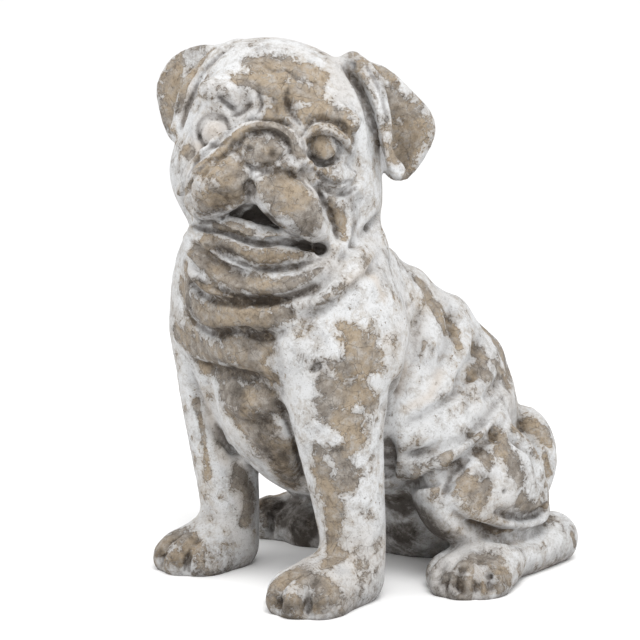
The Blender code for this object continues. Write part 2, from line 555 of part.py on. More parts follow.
def sculpt(step=VOXEL):
    """The whole statue in clay."""
    clay = Clay(BLOCK_LOW, BLOCK_HIGH, step)
    press_torso(clay)
    press_neck(clay)
    press_tail(clay)
    for side in SIDES:
        press_hind_leg(clay, side)
        press_foreleg(clay, side)
    press_head(clay)
    press_face(clay)
    press_ears(clay)
    draw_folds(clay)
    return clay


def statue_mesh(clay, name, triangles):
    """The skin of the clay as a mesh object in metres, thinned, and cut flat at the ground."""
    points, faces = largest_piece(*clay.skin())
    mesh = bpy.data.meshes.new(name)
    mesh.from_pydata((points * UNIT).tolist(), [], faces.tolist())
    statue = bpy.data.objects.new(name, mesh)
    bpy.context.scene.collection.objects.link(statue)
    face = statue.vertex_groups.new(name="face")
    away = np.linalg.norm(points - FACE_CENTRE, axis=1)
    face.add(np.flatnonzero(away < FACE_REACH).tolist(), FACE_SHARE, "REPLACE")
    thin = statue.modifiers.new("thin", "DECIMATE")
    thin.ratio = min(1.0, triangles / (2 * len(faces)))
    thin.vertex_group = face.name
    thin.invert_vertex_group = True
    thin.vertex_group_factor = FACE_CARE
    evaluated = statue.evaluated_get(bpy.context.evaluated_depsgraph_get())
    cut = bmesh.new()
    cut.from_mesh(evaluated.to_mesh())
    statue.modifiers.remove(thin)
    statue.vertex_groups.remove(face)
    everything = cut.verts[:] + cut.edges[:] + cut.faces[:]
    ground = {"plane_co": (0, 0, 0), "plane_no": (0, 0, 1), "clear_inner": True}
    rim = bmesh.ops.bisect_plane(cut, geom=everything, dist=WELD, **ground)
    edges = [e for e in rim["geom_cut"] if isinstance(e, bmesh.types.BMEdge)]
    bmesh.ops.holes_fill(cut, edges=edges)
    cut.to_mesh(mesh)
    cut.free()
    stand_on_origin(mesh)
    return statue


def stand_on_origin(mesh):
    """Moves the mesh so that the middle of its outline, seen from above, is over the origin."""
    corners = np.array([v.co for v in mesh.vertices])
    middle = (corners.min(axis=0) + corners.max(axis=0)) / 2
    mesh.transform(Matrix.Translation((-middle[0], -middle[1], 0)))


def limewashed_stone():
    """Cast stone under a worn coat of limewash."""
    material = bpy.data.materials.new("limewashed cast stone")
    material.use_nodes = True
    shader = material.node_tree.nodes["Principled BSDF"]
    shader.inputs["Base Color"].default_value = STONE_COLOUR
    shader.inputs["Roughness"].default_value = STONE_ROUGHNESS
    return material


def main():
    for old in list(bpy.data.objects):
        bpy.data.objects.remove(old)
    statue = statue_mesh(sculpt(), "pug_statue", TRIANGLES)
    statue.data.materials.append(limewashed_stone())
    statue.data.shade_smooth()


if __name__ == "__main__":
    main()
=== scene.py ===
"""Sitting pug puppy in cast stone, under a worn coat of limewash.

The clay is pressed as the solid is, only finer. Then the chips, pits and tool marks of the casting
are cut, the coat is flaked off where the wear is, and the finish follows the same wear, with painted
shade and shadow in its creases, hollows, grooves and undersides.
"""

import json
import math

import bpy
import numpy as np
from mathutils import Euler, Matrix, Vector

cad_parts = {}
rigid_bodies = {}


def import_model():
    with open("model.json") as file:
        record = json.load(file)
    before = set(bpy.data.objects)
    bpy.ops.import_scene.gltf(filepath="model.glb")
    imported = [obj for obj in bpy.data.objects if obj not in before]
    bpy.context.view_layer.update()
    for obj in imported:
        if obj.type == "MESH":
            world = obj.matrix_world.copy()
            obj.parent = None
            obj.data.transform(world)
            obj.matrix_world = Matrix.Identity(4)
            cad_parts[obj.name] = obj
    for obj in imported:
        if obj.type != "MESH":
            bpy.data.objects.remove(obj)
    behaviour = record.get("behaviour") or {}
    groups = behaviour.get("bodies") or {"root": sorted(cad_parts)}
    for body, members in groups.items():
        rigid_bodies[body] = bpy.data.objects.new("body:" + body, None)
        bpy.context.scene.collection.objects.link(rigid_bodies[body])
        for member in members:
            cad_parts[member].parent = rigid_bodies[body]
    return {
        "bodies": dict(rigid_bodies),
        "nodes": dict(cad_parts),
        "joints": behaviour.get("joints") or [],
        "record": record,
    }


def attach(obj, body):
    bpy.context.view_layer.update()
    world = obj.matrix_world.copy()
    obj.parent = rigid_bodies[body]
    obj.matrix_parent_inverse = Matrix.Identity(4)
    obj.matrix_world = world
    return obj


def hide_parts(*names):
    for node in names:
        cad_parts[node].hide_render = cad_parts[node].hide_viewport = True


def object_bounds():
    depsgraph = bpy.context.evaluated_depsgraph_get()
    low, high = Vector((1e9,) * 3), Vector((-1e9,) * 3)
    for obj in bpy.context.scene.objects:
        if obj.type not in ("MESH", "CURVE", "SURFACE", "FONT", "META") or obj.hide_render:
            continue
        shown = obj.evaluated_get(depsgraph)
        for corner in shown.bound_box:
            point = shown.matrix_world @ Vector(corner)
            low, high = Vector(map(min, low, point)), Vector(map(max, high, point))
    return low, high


bl_info = {
    "name": "Limewashed stone pug",
    "version": (1, 0, 0),
    "blender": (4, 5, 0),
    "location": "View3D > Sidebar > Stone pug",
    "description": "Sculpts a sitting pug in cast stone, weathers its limewash and lights it",
    "category": "Add Mesh",
}

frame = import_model()
SOLID_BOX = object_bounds()
NODE = "pug_statue"

STATUE_HEIGHT = 0.38  # metres, from the ground to the crown of the head
CROWN = 100.56  # height of the crown of the head, in units
UNIT = STATUE_HEIGHT / CROWN

SENSOR = 36.0  # millimetres, the camera's film
WELD = 1e-5  # metres, closest that the ground cut leaves two points

BLOCK_LOW = (-42.0, -44.0, -4.0)
BLOCK_HIGH = (42.0, 44.0, 106.0)
FAR = 40.0  # distance that empty voxels start with
BODY = Matrix.Identity(4)
MIRROR = Matrix.Scale(-1, 4, (1, 0, 0))
SIDES = {"left": BODY, "right": MIRROR}

# Where the statue was looked at from. Its folds are drawn as they look from there, on a square
# sheet that fills the view: points are steps to the right and down from the sheet's top left.
EYE = (312.0, -268.0, 113.0)
EYE_TURN = 50.4  # degrees, towards the dog's left from its front
EYE_DROP = 9.1  # degrees, that the line of sight falls
SHEET = 640  # steps along a side of the sheet
SHEET_AWAY = 2200  # steps from the eye to the sheet
NEAREST, FARTHEST = 330.0, 470.0  # units from the eye, the statue lies between them

SEARCH_STEPS = 12  # that a point takes at most towards the skin
SEARCH_STEP = 2.0  # the longest of them, in units
STROKE_REACH = 2.4  # of a stroke's width, where its soft edge has ended
STROKE_DEPTH = 0.7  # how much of the distance from the skin counts as along the stroke
MIRRORED_SHARE = 0.7  # of a fold's height, on the side that the view hides

HEAD_CENTRE = (-2.2, -18.0, 79.8)
HEAD_TURN = 44.0  # degrees, towards the dog's left
HEAD_TILT = 10.0  # left ear lower than the right one


def frame_at(centre, turn=(0, 0, 0)):
    """A frame at that centre, turned by degrees about x, then y, then z."""
    return Matrix.Translation(centre) @ Euler([math.radians(a) for a in turn]).to_matrix().to_4x4()


HEAD = frame_at(HEAD_CENTRE, (0, 0, HEAD_TURN)) @ frame_at((0, 0, 0), (0, HEAD_TILT, 0))
SIGHT = frame_at(EYE, (-EYE_DROP, 0, EYE_TURN))


def smooth_path(points, per_span=5):
    """Points of a Catmull-Rom curve through the given ones, whatever their number of columns."""
    p = np.array(points, float)
    if len(p) == 2:
        return p[0] + np.linspace(0, 1, per_span + 1)[:, None] * (p[1] - p[0])
    p = np.vstack([2 * p[0] - p[1], p, 2 * p[-1] - p[-2]])
    t = np.linspace(0, 1, per_span, endpoint=False)[:, None]
    spans = []
    for a, b, c, d in zip(p, p[1:], p[2:], p[3:]):
        spans.append(0.5 * (2 * b + (c - a) * t + (2 * a - 5 * b + 4 * c - d) * t**2
                            + (3 * b - a - 3 * c + d) * t**3))
    return np.vstack([*spans, p[-2:-1]])


def between_cells(block, place):
    """The block's value at places counted in cells, and between them."""
    place = np.clip(place, 0, np.array(block.shape) - 1.001)
    cell = place.astype(int)
    part = place - cell
    total = np.zeros(len(place))
    for corner in np.ndindex(2, 2, 2):
        share = np.prod(np.where(corner, part, 1 - part), axis=1)
        total += share * block[tuple((cell + corner).T)]
    return total


class Clay:
    """A block of voxels that holds the distance to the skin, below zero inside it."""

    def __init__(self, low, high, step):
        self.low = np.array(low, float)
        self.step = step
        counts = np.ceil((np.array(high) - self.low) / step).astype(int) + 1
        self.field = np.full(counts, FAR, np.float32)

    def window(self, low, high):
        """The slices of the voxels between two corners, and the coordinates of those voxels."""
        first = np.floor((np.array(low) - self.low) / self.step).astype(int)
        last = np.ceil((np.array(high) - self.low) / self.step).astype(int) + 1
        first = np.clip(first, 0, self.field.shape)
        last = np.clip(last, first, self.field.shape)
        axes = [
            (self.low[i] + self.step * np.arange(first[i], last[i])).astype(np.float32)
            for i in range(3)
        ]
        return tuple(slice(a, b) for a, b in zip(first, last)), np.ix_(*axes)

    def local_window(self, place, reach):
        """The window round a frame's box of half-sides reach, with coordinates in that frame."""
        turned = np.abs(np.array(place.to_3x3())) @ np.array(reach, float)
        centre = np.array(place.translation)
        cut, (x, y, z) = self.window(centre - turned, centre + turned)
        rows = np.array(place.inverted(), np.float32)[:3]
        return cut, [r[0] * x + r[1] * y + r[2] * z + r[3] for r in rows]

    def merge(self, cut, shape, blend, carve=False):
        """Adds a shape to the window, or carves it out, with a fillet about as wide as blend."""
        sign = np.float32(-1 if carve else 1)
        old = sign * self.field[cut]
        fillet = np.maximum(blend - np.abs(old - shape), 0) ** 2 / (4 * blend)
        self.field[cut] = sign * (np.minimum(old, shape) - fillet)

    def ball(self, centre, radii, turn=(0, 0, 0), blend=4.0, frame=BODY, carve=False):
        """An ellipsoid, pressed on or carved out."""
        radii = np.array(radii, np.float32)
        place = frame @ frame_at(centre, turn)
        cut, q = self.local_window(place, radii + blend + 2)
        nearness = np.sqrt(sum((c / r) ** 2 for c, r in zip(q, radii)))
        slope = np.sqrt(sum((c / r**2) ** 2 for c, r in zip(q, radii))) + 1e-6
        self.merge(cut, nearness * (nearness - 1) / slope, blend, carve)

    def limb(self, points, blend=4.0, frame=BODY, carve=False, per_span=4):
        """A tapered tube through points of x, y, z and radius."""
        path = smooth_path([(*(frame @ Vector(p[:3])), p[3]) for p in points], per_span)
        room = path[:, 3].max() + blend + 2
        low, high = path[:, :3].min(0) - room, path[:, :3].max(0) + room
        cut, (x, y, z) = self.window(low, high)
        shape = np.full(self.field[cut].shape, FAR, np.float32)
        for a, b in zip(path, path[1:]):
            away, along = distance_to_span(x, y, z, a[:3], b[:3])
            np.minimum(shape, away - (a[3] + along * (b[3] - a[3])), out=shape)
        self.merge(cut, shape, blend, carve)

    def leaf(self, corners, thickness, curl, frame, blend=2.0, rounding=1.5):
        """A thin flap. Its outline has corners (across, up) in the frame, its faces look along y,
        and curl (across, up) bends it backwards by that share of each distance squared."""
        c = smooth_path([*corners, corners[0]], 3)[:-1]
        reach = [np.abs(c[:, 0]).max(), np.abs(c[:, 1]).max(), np.abs(c[:, 1]).max()]
        cut, (x, y, z) = self.local_window(frame, np.array(reach) + blend + 4)
        y = y - curl[0] * x * x - curl[1] * z * z
        inside = np.full(x.shape, False)
        edge = np.full(x.shape, FAR, np.float32)
        for (ax, az), (bx, bz) in zip(c, np.roll(c, -1, 0)):
            span = np.array([bx - ax, bz - az])
            t = np.clip(((x - ax) * span[0] + (z - az) * span[1]) / (span @ span), 0, 1)
            edge = np.minimum(edge, np.hypot(x - ax - t * span[0], z - az - t * span[1]))
            if bz != az:
                crossing = (az > z) != (bz > z)
                inside ^= crossing & (x < (bx - ax) * (z - az) / (bz - az) + ax)
        outline = np.where(inside, -edge, edge) - rounding
        face = np.abs(y) - thickness / 2
        shape = np.maximum(outline, face)
        fillet = np.maximum(rounding - np.abs(outline - face), 0) ** 2 / (4 * rounding)
        self.merge(cut, (shape + fillet).astype(np.float32), blend)

    def depth_at(self, points):
        """The field at points of x, y and z, between voxels too."""
        return between_cells(self.field, (points - self.low) / self.step)

    def slope_at(self, points):
        """The outward direction of the field at each point."""
        steps = np.eye(3) * self.step
        slope = np.array([self.depth_at(points + s) - self.depth_at(points - s) for s in steps]).T
        return slope / (np.linalg.norm(slope, axis=1, keepdims=True) + 1e-9)

    def on_skin(self, points, frame):
        """The points moved onto the skin: two columns are steps on the sheet, and three columns are
        a place near the skin."""
        if len(points[0]) == 2:
            return np.array([self.seen(*p) for p in points])
        found = np.array([frame @ Vector(p) for p in points])
        for _ in range(SEARCH_STEPS):
            depth = np.clip(self.depth_at(found), -SEARCH_STEP, SEARCH_STEP)
            found -= self.slope_at(found) * depth[:, None]
        return found

    def seen(self, right, down):
        """Where the line of sight through a point of the sheet first meets the skin."""
        across = Vector((right - SHEET / 2, SHEET_AWAY, SHEET / 2 - down)).normalized()
        away = np.arange(NEAREST, FARTHEST, self.step / 2)
        line = np.array(EYE) + away[:, None] * np.array(SIGHT.to_3x3() @ across)
        inside = np.flatnonzero(self.depth_at(line) < 0)
        return line[inside[0] if len(inside) else len(away) // 2]

    def stroke(self, points, width, height, frame=BODY, ends=0.25):
        """A soft roll raised on the skin along a curve, or a crease where height is below zero.
        It fades over the share ends of its length at each end."""
        path = smooth_path(self.on_skin(points, frame))
        reach = STROKE_REACH * width + abs(height)
        cut, (x, y, z) = self.window(path.min(0) - reach, path.max(0) + reach)
        depth = np.minimum(np.abs(self.field[cut]), reach)
        height_at = np.zeros(depth.shape, np.float32)
        spans = len(path) - 1
        for i, (a, b) in enumerate(zip(path, path[1:])):
            away, along = distance_to_span(x, y, z, a, b)
            place = (i + along) / spans
            fade = np.clip(np.minimum(place, 1 - place) / ends, 0, 1)
            sideways = np.maximum(away**2 - STROKE_DEPTH * depth**2, 0)
            near = np.clip(3 - 3 * away / reach, 0, 1)
            shape = np.exp(-sideways / width**2) * fade * (2 - fade) * near
            np.maximum(height_at, shape, out=height_at)
        self.field[cut] -= height * height_at

    def close_pinches(self):
        """Fills the voxels where clay meets clay along an edge or at a corner only, so that the
        skin never touches itself."""
        inside = self.field < 0
        cells = tuple(n - 1 for n in inside.shape)
        corners = {c: inside[tuple(slice(i, i + n) for i, n in zip(c, cells))]
                   for c in np.ndindex(2, 2, 2)}
        found = True
        while found:
            found = False
            for axis in range(3):
                plane = np.moveaxis(inside, axis, 2)
                a, b, c, d = plane[:-1, :-1], plane[1:, :-1], plane[:-1, 1:], plane[1:, 1:]
                pinched = (a == d) & (b == c) & (a != b)
                found |= bool(pinched.any())
                for corner in (a, b, c, d):
                    corner |= pinched
            count = sum(corner.astype(np.int8) for corner in corners.values())
            for near in ((0, 0, 0), (1, 0, 0), (0, 1, 0), (0, 0, 1)):
                first, second = corners[near], corners[tuple(1 - i for i in near)]
                pinched = (first == second) & (count == np.where(first, 2, 6))
                found |= bool(pinched.any())
                for corner in corners.values():
                    corner |= pinched
        self.field[inside & (self.field >= 0)] = -0.05 * self.step

    def skin(self):
        """The zero level as points and four-cornered faces, by naive surface nets."""
        self.close_pinches()
        field = self.field
        inside = field < 0
        full = tuple(n - 1 for n in field.shape)
        count = np.zeros(full, int)
        for c in np.ndindex(2, 2, 2):
            count += inside[tuple(slice(i, i + n) for i, n in zip(c, full))]
        cells = np.argwhere((count > 0) & (count < 8))
        index = np.full(full, -1)
        index[tuple(cells.T)] = np.arange(len(cells))
        total = np.zeros((len(cells), 3))
        hits = np.zeros(len(cells))
        for start in np.ndindex(2, 2, 2):
            for axis in range(3):
                if start[axis]:
                    continue
                a = field[tuple((cells + start).T)]
                end = np.array(start) + np.eye(3, dtype=int)[axis]
                b = field[tuple((cells + end).T)]
                crossing = (a < 0) != (b < 0)
                t = a[crossing] / (a[crossing] - b[crossing])
                total[crossing] += start + t[:, None] * (end - np.array(start))
                hits += crossing
        points = self.low + self.step * (cells + total / hits[:, None])
        faces = []
        for axis in range(3):
            u, v = np.eye(3, dtype=int)[[(axis + 1) % 3, (axis + 2) % 3]]
            near = inside[tuple(slice(1, -1) if i != axis else slice(0, -1) for i in range(3))]
            far = inside[tuple(slice(1, -1) if i != axis else slice(1, None) for i in range(3))]
            edges = np.argwhere(near != far)
            outward = near[tuple(edges.T)]
            edges = edges + 1 - np.eye(3, dtype=int)[axis]
            ring = [index[tuple((edges - s).T)] for s in (0 * u, u, u + v, v)]
            quads = np.array(ring).T
            faces.append(np.where(outward[:, None], quads, quads[:, ::-1]))
        return points, np.vstack(faces)


def largest_piece(points, faces):
    """The mesh without any bubble that the carving left inside."""
    label = np.arange(len(points))
    while True:
        lowest = label.copy()
        np.minimum.at(lowest, faces.ravel(), np.repeat(label[faces].min(axis=1), 4))
        lowest = lowest[lowest]
        if np.array_equal(lowest, label):
            break
        label = lowest
    names, sizes = np.unique(label, return_counts=True)
    kept = label == names[sizes.argmax()]
    number = np.cumsum(kept) - 1
    return points[kept], number[faces[kept[faces[:, 0]]]]


def distance_to_span(x, y, z, a, b):
    """How far voxels are from a straight span, and how far along it they lie, from 0 to 1."""
    a, b = a.astype(np.float32), b.astype(np.float32)
    d = b - a
    along = ((x - a[0]) * d[0] + (y - a[1]) * d[1] + (z - a[2]) * d[2]) / max(d @ d, 1e-9)
    along = np.clip(along, 0, 1)
    away = np.sqrt((x - a[0] - along * d[0]) ** 2 + (y - a[1] - along * d[1]) ** 2
                   + (z - a[2] - along * d[2]) ** 2)
    return away, along


def press_torso(clay):
    """Chest, barrel, belly, sloping back and rump."""
    clay.limb([(0, -15.2, 63.6, 12.8), (0, -13, 56, 13), (0, -5.9, 49, 14.8), (0, 1.4, 42.4, 16.6),
               (0, 10.7, 33.6, 18.9), (0, 15.4, 26, 19.4), (0, 17.8, 14, 16.3)])
    clay.ball((0, -13, 45), (18.5, 14.5, 18), (10, 0, 0), blend=7)
    clay.ball((-2, -9.5, 33), (17, 16, 18.5), blend=6)
    clay.ball((-3, -18.5, 37), (12, 9.5, 15), (-8, 0, 0), blend=4)
    clay.ball((0, 2, 28), (20.5, 17, 13), blend=6)
    clay.ball((4, -8, 3), (19, 12, 12), blend=3, carve=True)
    clay.limb([(-18, 4, 2, 6.5), (-8, 13, 2, 7), (6, 21, 2, 7)], blend=3)


def press_neck(clay):
    """The thick neck with the rolls of skin that lie round it."""
    clay.limb([(0, -15, 54, 15.5), (-1, -17.5, 64, 15.3), (-2, -18, 73, 15)], blend=6)
    clay.ball((-14, -18.5, 55), (12.4, 11.5, 15), blend=6)
    clay.limb([(-15, -22, 62, 3.5), (-7, -30, 56, 4), (3, -31, 55, 4), (12, -27, 58, 3.5),
               (16, -18, 64, 3)])
    clay.limb([(-17, -19, 56, 3), (-9, -27, 49, 3.4), (0, -28.6, 47, 3.4), (8, -26, 49, 3)], blend=5)


def press_foreleg(clay, side):
    """Shoulder, upper arm and straight foreleg with its paw."""
    if side == "left":
        clay.ball((14, -16, 47), (10, 10.5, 15), blend=6)
        clay.limb([(14.5, -18.5, 44, 9.3), (15.2, -18.5, 34, 8.4), (16.4, -17.5, 22, 7),
                   (17.3, -16.5, 11, 6), (17.5, -17, 4, 6)], blend=3)
        press_forepaw(clay, frame_at((17.8, -18.5, 0), (0, 0, 3)))
    else:
        clay.ball((-18, -17, 46), (10, 11, 13), blend=6)
        clay.limb([(-19.5, -18.5, 44, 9), (-19.5, -19, 34, 7.6), (-18, -19, 22, 6.4),
                   (-16, -19, 11, 5.6), (-16, -19.4, 4, 5.2)], blend=3)
        press_forepaw(clay, frame_at((-16.6, -17.5, 0), (0, 0, -4)))


def press_forepaw(clay, frame):
    """A forepaw that points along -y from its ankle, with four toes."""
    clay.ball((0, -5.5, 3), (7, 9, 6.2), (10, 0, 0), blend=3, frame=frame)
    press_toes(clay, frame, 2.4)


def press_toes(clay, frame, blend):
    """Four toes, the middle two further forward, and the slits between them."""
    for across, forward, size in ((-5.3, -9.5, 2.8), (-1.9, -12, 3.3), (1.9, -12, 3.3), (5.3, -9.5, 2.8)):
        clay.ball((across, forward, 2.4), (size, size * 1.5, size * 1.25), blend=blend, frame=frame)
    for across, forward in ((-3.7, -13.2), (0, -15.4), (3.7, -13.2)):
        line = [(across, forward, 1), (across * 0.98, forward + 0.6, 4), (across * 0.9, forward + 3.4, 6.6)]
        clay.stroke(line, 0.7, -1, frame)


def press_hind_leg(clay, side):
    """Thigh, long flat foot with its toes, and heel."""
    frame = SIDES[side]
    clay.ball((20, 12, 17.8), (10.3, 13.5, 11.6), (0, 0, -6), blend=2, frame=frame)
    clay.ball((22, 5, 16.4), (6.8, 7.5, 8.6), (0, 0, -10), blend=2.5, frame=frame)
    clay.ball((19, 20.5, 12), (9, 8, 8.5), blend=3, frame=frame)
    clay.limb([(21.6, 30.4, 4, 5.2), (23.6, 21, 4, 5.3), (25.2, 10, 4, 5.3)], blend=1.6, frame=frame)
    foot = frame @ frame_at((25.6, 11.8, 0), (0, 0, 12))
    clay.ball((0, -6, 2.8), (7.4, 10, 5.2), (8, 0, 0), blend=2.4, frame=foot)
    press_toes(clay, foot, 2.2)


def press_tail(clay):
    """The tail, curled over the left of the rump."""
    clay.limb([(0, 33, 17, 3), (7, 32.4, 23.4, 3.2), (13.8, 30.8, 25.4, 3.2), (18.8, 29.4, 22.6, 3.1),
               (20.2, 28.8, 17.6, 2.8), (18.6, 28.6, 13, 2.3)], blend=1.1)
    clay.ball((14.5, 25, 17.5), (6, 5, 6.5), blend=3)


def press_head(clay):
    """Round skull, cheeks, brow, short muzzle and jaw."""
    clay.ball((0, 1, 3.6), (18.3, 16, 15.8), blend=5, frame=HEAD)
    clay.ball((0.3, 0, -6), (19.3, 14, 12.5), blend=5, frame=HEAD)
    clay.ball((-4, 1, 12), (11, 11, 7), blend=5, frame=HEAD)
    clay.ball((0.5, -10, -6), (14, 8.5, 10), blend=4, frame=HEAD)
    clay.ball((2, -9.5, -16.5), (13.5, 8, 7), blend=3, frame=HEAD)


def press_face(clay):
    """Eyes, brows, nose, and the two lobes of the upper lip over the open mouth."""
    clay.ball((-9.2, -11, 9.6), (5.8, 3, 3.2), (0, 0, 26), blend=3, frame=HEAD)
    clay.ball((9.6, -10.8, 8.8), (6, 3, 2.8), (0, 0, -30), blend=3, frame=HEAD)
    for side, across, out, height in (("left", 9.3, -12.5, 3.6), ("right", 9.6, -12.2, 2.2)):
        eye = HEAD @ SIDES[side] @ frame_at((across, out, height), (0, 0, 12))
        clay.ball((0, 0.4, 0), (5.4, 3.2, 5.2), blend=2.5, frame=eye)
        clay.ball((0, -3, 0), (3.6, 2.8, 3.6), blend=0.3, frame=eye, carve=True)
        clay.ball((0, -0.5, 0), (2.9, 2.6, 2.9), blend=0.1, frame=eye)
    lid = HEAD @ frame_at((9.3, -12.5, 3.6), (0, 0, 12))
    clay.limb([(-4, -2, -0.6, 0.5), (-3.2, -2.6, 2.2, 0.9), (0, -2.9, 3.5, 1.1), (3.2, -2.4, 2.2, 0.9),
               (4.2, -1.6, -0.6, 0.5)], blend=0.8, frame=lid)
    clay.limb([(14, -9.5, -4, 2), (14.5, -9, -1.5, 2), (12, -11.3, 0, 1.5)], blend=1, frame=HEAD)
    clay.ball((10, -12.3, -1.4), (4.2, 2.6, 2.8), (0, 15, 0), blend=1.2, frame=HEAD)
    clay.ball((-13.4, -10.2, -2.6), (3, 3, 3.6), blend=2, frame=HEAD)
    clay.limb([(-10.5, -13.8, -12.6, 1.6), (-4, -17.5, -11, 3), (4, -18, -11.5, 3.2),
               (12, -13.4, -13.2, 1.6)],
              blend=0.8, frame=HEAD, carve=True)
    clay.limb([(-9.8, -13, -12.6, 1.4), (-4, -15.9, -12.9, 1.9), (3, -16.5, -13.4, 1.9),
               (10.6, -13.4, -14, 1.3)],
              blend=0.5, frame=HEAD)
    clay.limb([(-10.4, -12.6, -15.6, 1.9), (-3.4, -16.4, -16.6, 2.6), (4, -17, -16.9, 2.9),
               (12.4, -13, -15.4, 2)],
              blend=0.4, frame=HEAD)
    clay.limb([(-11, -10.4, -17.4, 2.2), (-7.4, -13.6, -22.2, 3.1), (2, -15.8, -24.4, 3.4),
               (10, -13.8, -22.6, 3),
               (14.6, -9.6, -18, 2.2)], blend=1.2, frame=HEAD)
    clay.limb([(-2.6, -18.4, -3, 3.9), (-7.2, -16.6, -5, 5.7),
               (-9.8, -14.6, -9.4, 3.6)], blend=1, frame=HEAD)
    clay.limb([(1.3, -18.4, -4.4, 3.7), (6.6, -16.9, -7, 4.8),
               (12, -13.8, -10.8, 3.3)], blend=1, frame=HEAD)
    clay.ball((0, -14, 0.6), (7.5, 4, 4), blend=1, frame=HEAD)
    clay.ball((0.5, -18, 0.6), (6.1, 3.9, 4.5), (0, -3, 0), blend=0.8, frame=HEAD)
    clay.limb([(-14.8, -11, -9, 1), (-13.2, -13.4, -5.4, 1.5), (-10.2, -16.6, -1.2, 1.8),
               (-6, -18.2, 3.2, 1.9),
               (-1.2, -18.8, 5.6, 1.9), (3.3, -18.3, 4.9, 1.8), (6.5, -17, 1.5, 1.6),
               (8.4, -15.6, -2.6, 1.2)],
              blend=1, frame=HEAD)


def press_ears(clay):
    """Folded button ears, each a flap that hangs outwards from the top corner of the skull."""
    left = HEAD @ frame_at((18, 2, 9), (0, 0, 14))
    clay.leaf([(-9, 9), (-2, 8.6), (4.2, 4.8), (8.4, 1), (8.4, -3.6), (5.6, -9.4), (3.2, -9.2), (0.8, -4.4),
               (-2.6, 1), (-5.4, 5)], 2.8, (0.012, 0.012), left, blend=1.6, rounding=1)
    clay.limb([(10.5, 1, 18.4, 2), (14.5, -1.5, 15.6, 2.1), (17.5, -3, 10, 1.9), (19.8, -3.4, 4, 1.6),
               (22.5, -3, 0.6, 1.5)], blend=1.2, frame=HEAD)
    right = HEAD @ frame_at((-18, 2, 9), (0, 0, -22))
    clay.leaf([(8, 7), (1, 6.6), (-4.2, 3.6), (-6.4, -1.4), (-5, -6), (-2.6, -10), (0.2, -9.6), (2.4, -3),
               (4, 3)], 2.8, (0.012, 0.012), right, blend=1.6, rounding=1)
    clay.limb([(-11, 1, 16.6, 2), (-15, -1.6, 13, 2.1), (-17.8, -2.6, 8, 1.7), (-18.6, -2.4, 1, 1.4)],
              blend=1.2, frame=HEAD)


FACE_CREASES = (
    ("wrinkle over the right brow", 0.7, -0.9, ((219, 97), (227, 105), (236, 114))),
    ("inner end of the right brow", 0.8, -0.6, ((232, 118), (245, 108), (252, 96))),
    ("under the nose rope, right", 0.7, -1.1, ((198, 177), (208, 166), (222, 154), (238, 142))),
    ("under the nose rope, left", 0.6, -1.0,
     ((236, 139), (254, 132), (270, 133), (283, 141), (290, 154), (297, 168))),
    ("over the nose rope", 0.9, -1.0,
     ((188, 172), (206, 151), (230, 128), (260, 117), (284, 122), (298, 138))),
    ("forehead wrinkle, right", 0.7, -0.5, ((257, 92), (261, 103), (258, 115))),
    ("forehead wrinkle, middle", 0.7, -0.5, ((272, 96), (273, 106), (276, 116))),
    ("forehead wrinkle, left", 0.8, -0.6, ((286, 98), (290, 112), (298, 126))),
    ("over the left lid", 0.7, -0.7, ((302, 134), (308, 122), (322, 117), (338, 122), (350, 133))),
    ("beside the left eye", 0.8, -1.0, ((339, 150), (348, 158), (360, 168))),
    ("bag under the left eye, above", 0.6, -1.2, ((306, 152), (318, 163), (334, 161))),
    ("bag under the left eye, below", 0.8, -1.8,
     ((318, 172), (328, 186), (342, 194), (355, 186), (362, 170))),
    ("right ear and skull", 0.8, -1.3, ((232, 46), (206, 70), (195, 92), (186, 110), (180, 132))),
    ("right ear rim and flap", 0.8, -1.2, ((207, 54), (188, 78), (178, 102), (172, 126))),
    ("left ear and skull", 1.0, -1.8, ((344, 66), (360, 90), (371, 120), (378, 150), (384, 178))),
    ("left ear rim and flap", 0.8, -1.2, ((362, 62), (378, 90), (386, 120), (393, 150), (402, 172))),
    ("groove between the lobes", 0.8, -1.5, ((252, 168), (250, 182), (250, 198))),
    ("nose and right lobe", 0.6, -0.9, ((238, 152), (242, 162), (252, 169))),
    ("nose and left lobe", 0.7, -1.1, ((252, 169), (268, 167), (284, 158), (292, 150))),
    ("left cheek pouch", 2.0, -3.0, ((326, 196), (333, 212), (340, 228), (345, 240))),
    ("left lobe, outside", 0.9, -1.2, ((304, 168), (316, 184), (323, 196))),
    ("right lobe, outside", 0.9, -1.2, ((190, 176), (187, 196), (190, 214))),
    ("mouth", 0.55, -2.4,
     ((194, 225), (212, 226), (224, 231), (248, 241), (264, 243), (282, 241), (306, 246), (322, 249))),
    ("hollow in the left corner of the mouth", 1.1, -2.4, ((303, 246), (316, 249), (328, 249))),
    ("under the lower lip", 0.9, -1.5,
     ((206, 244), (228, 256), (258, 269), (290, 268), (318, 260), (334, 252))),
    ("under the chin", 1.0, -2.2,
     ((176, 246), (192, 270), (220, 290), (256, 299), (294, 297), (322, 282), (342, 256))),
    ("left cheek and neck", 0.9, -1.8, ((336, 262), (352, 246), (368, 230), (380, 214))),
    ("fold on the left cheek", 1.0, -0.8, ((352, 190), (362, 206), (360, 226), (350, 240))),
)

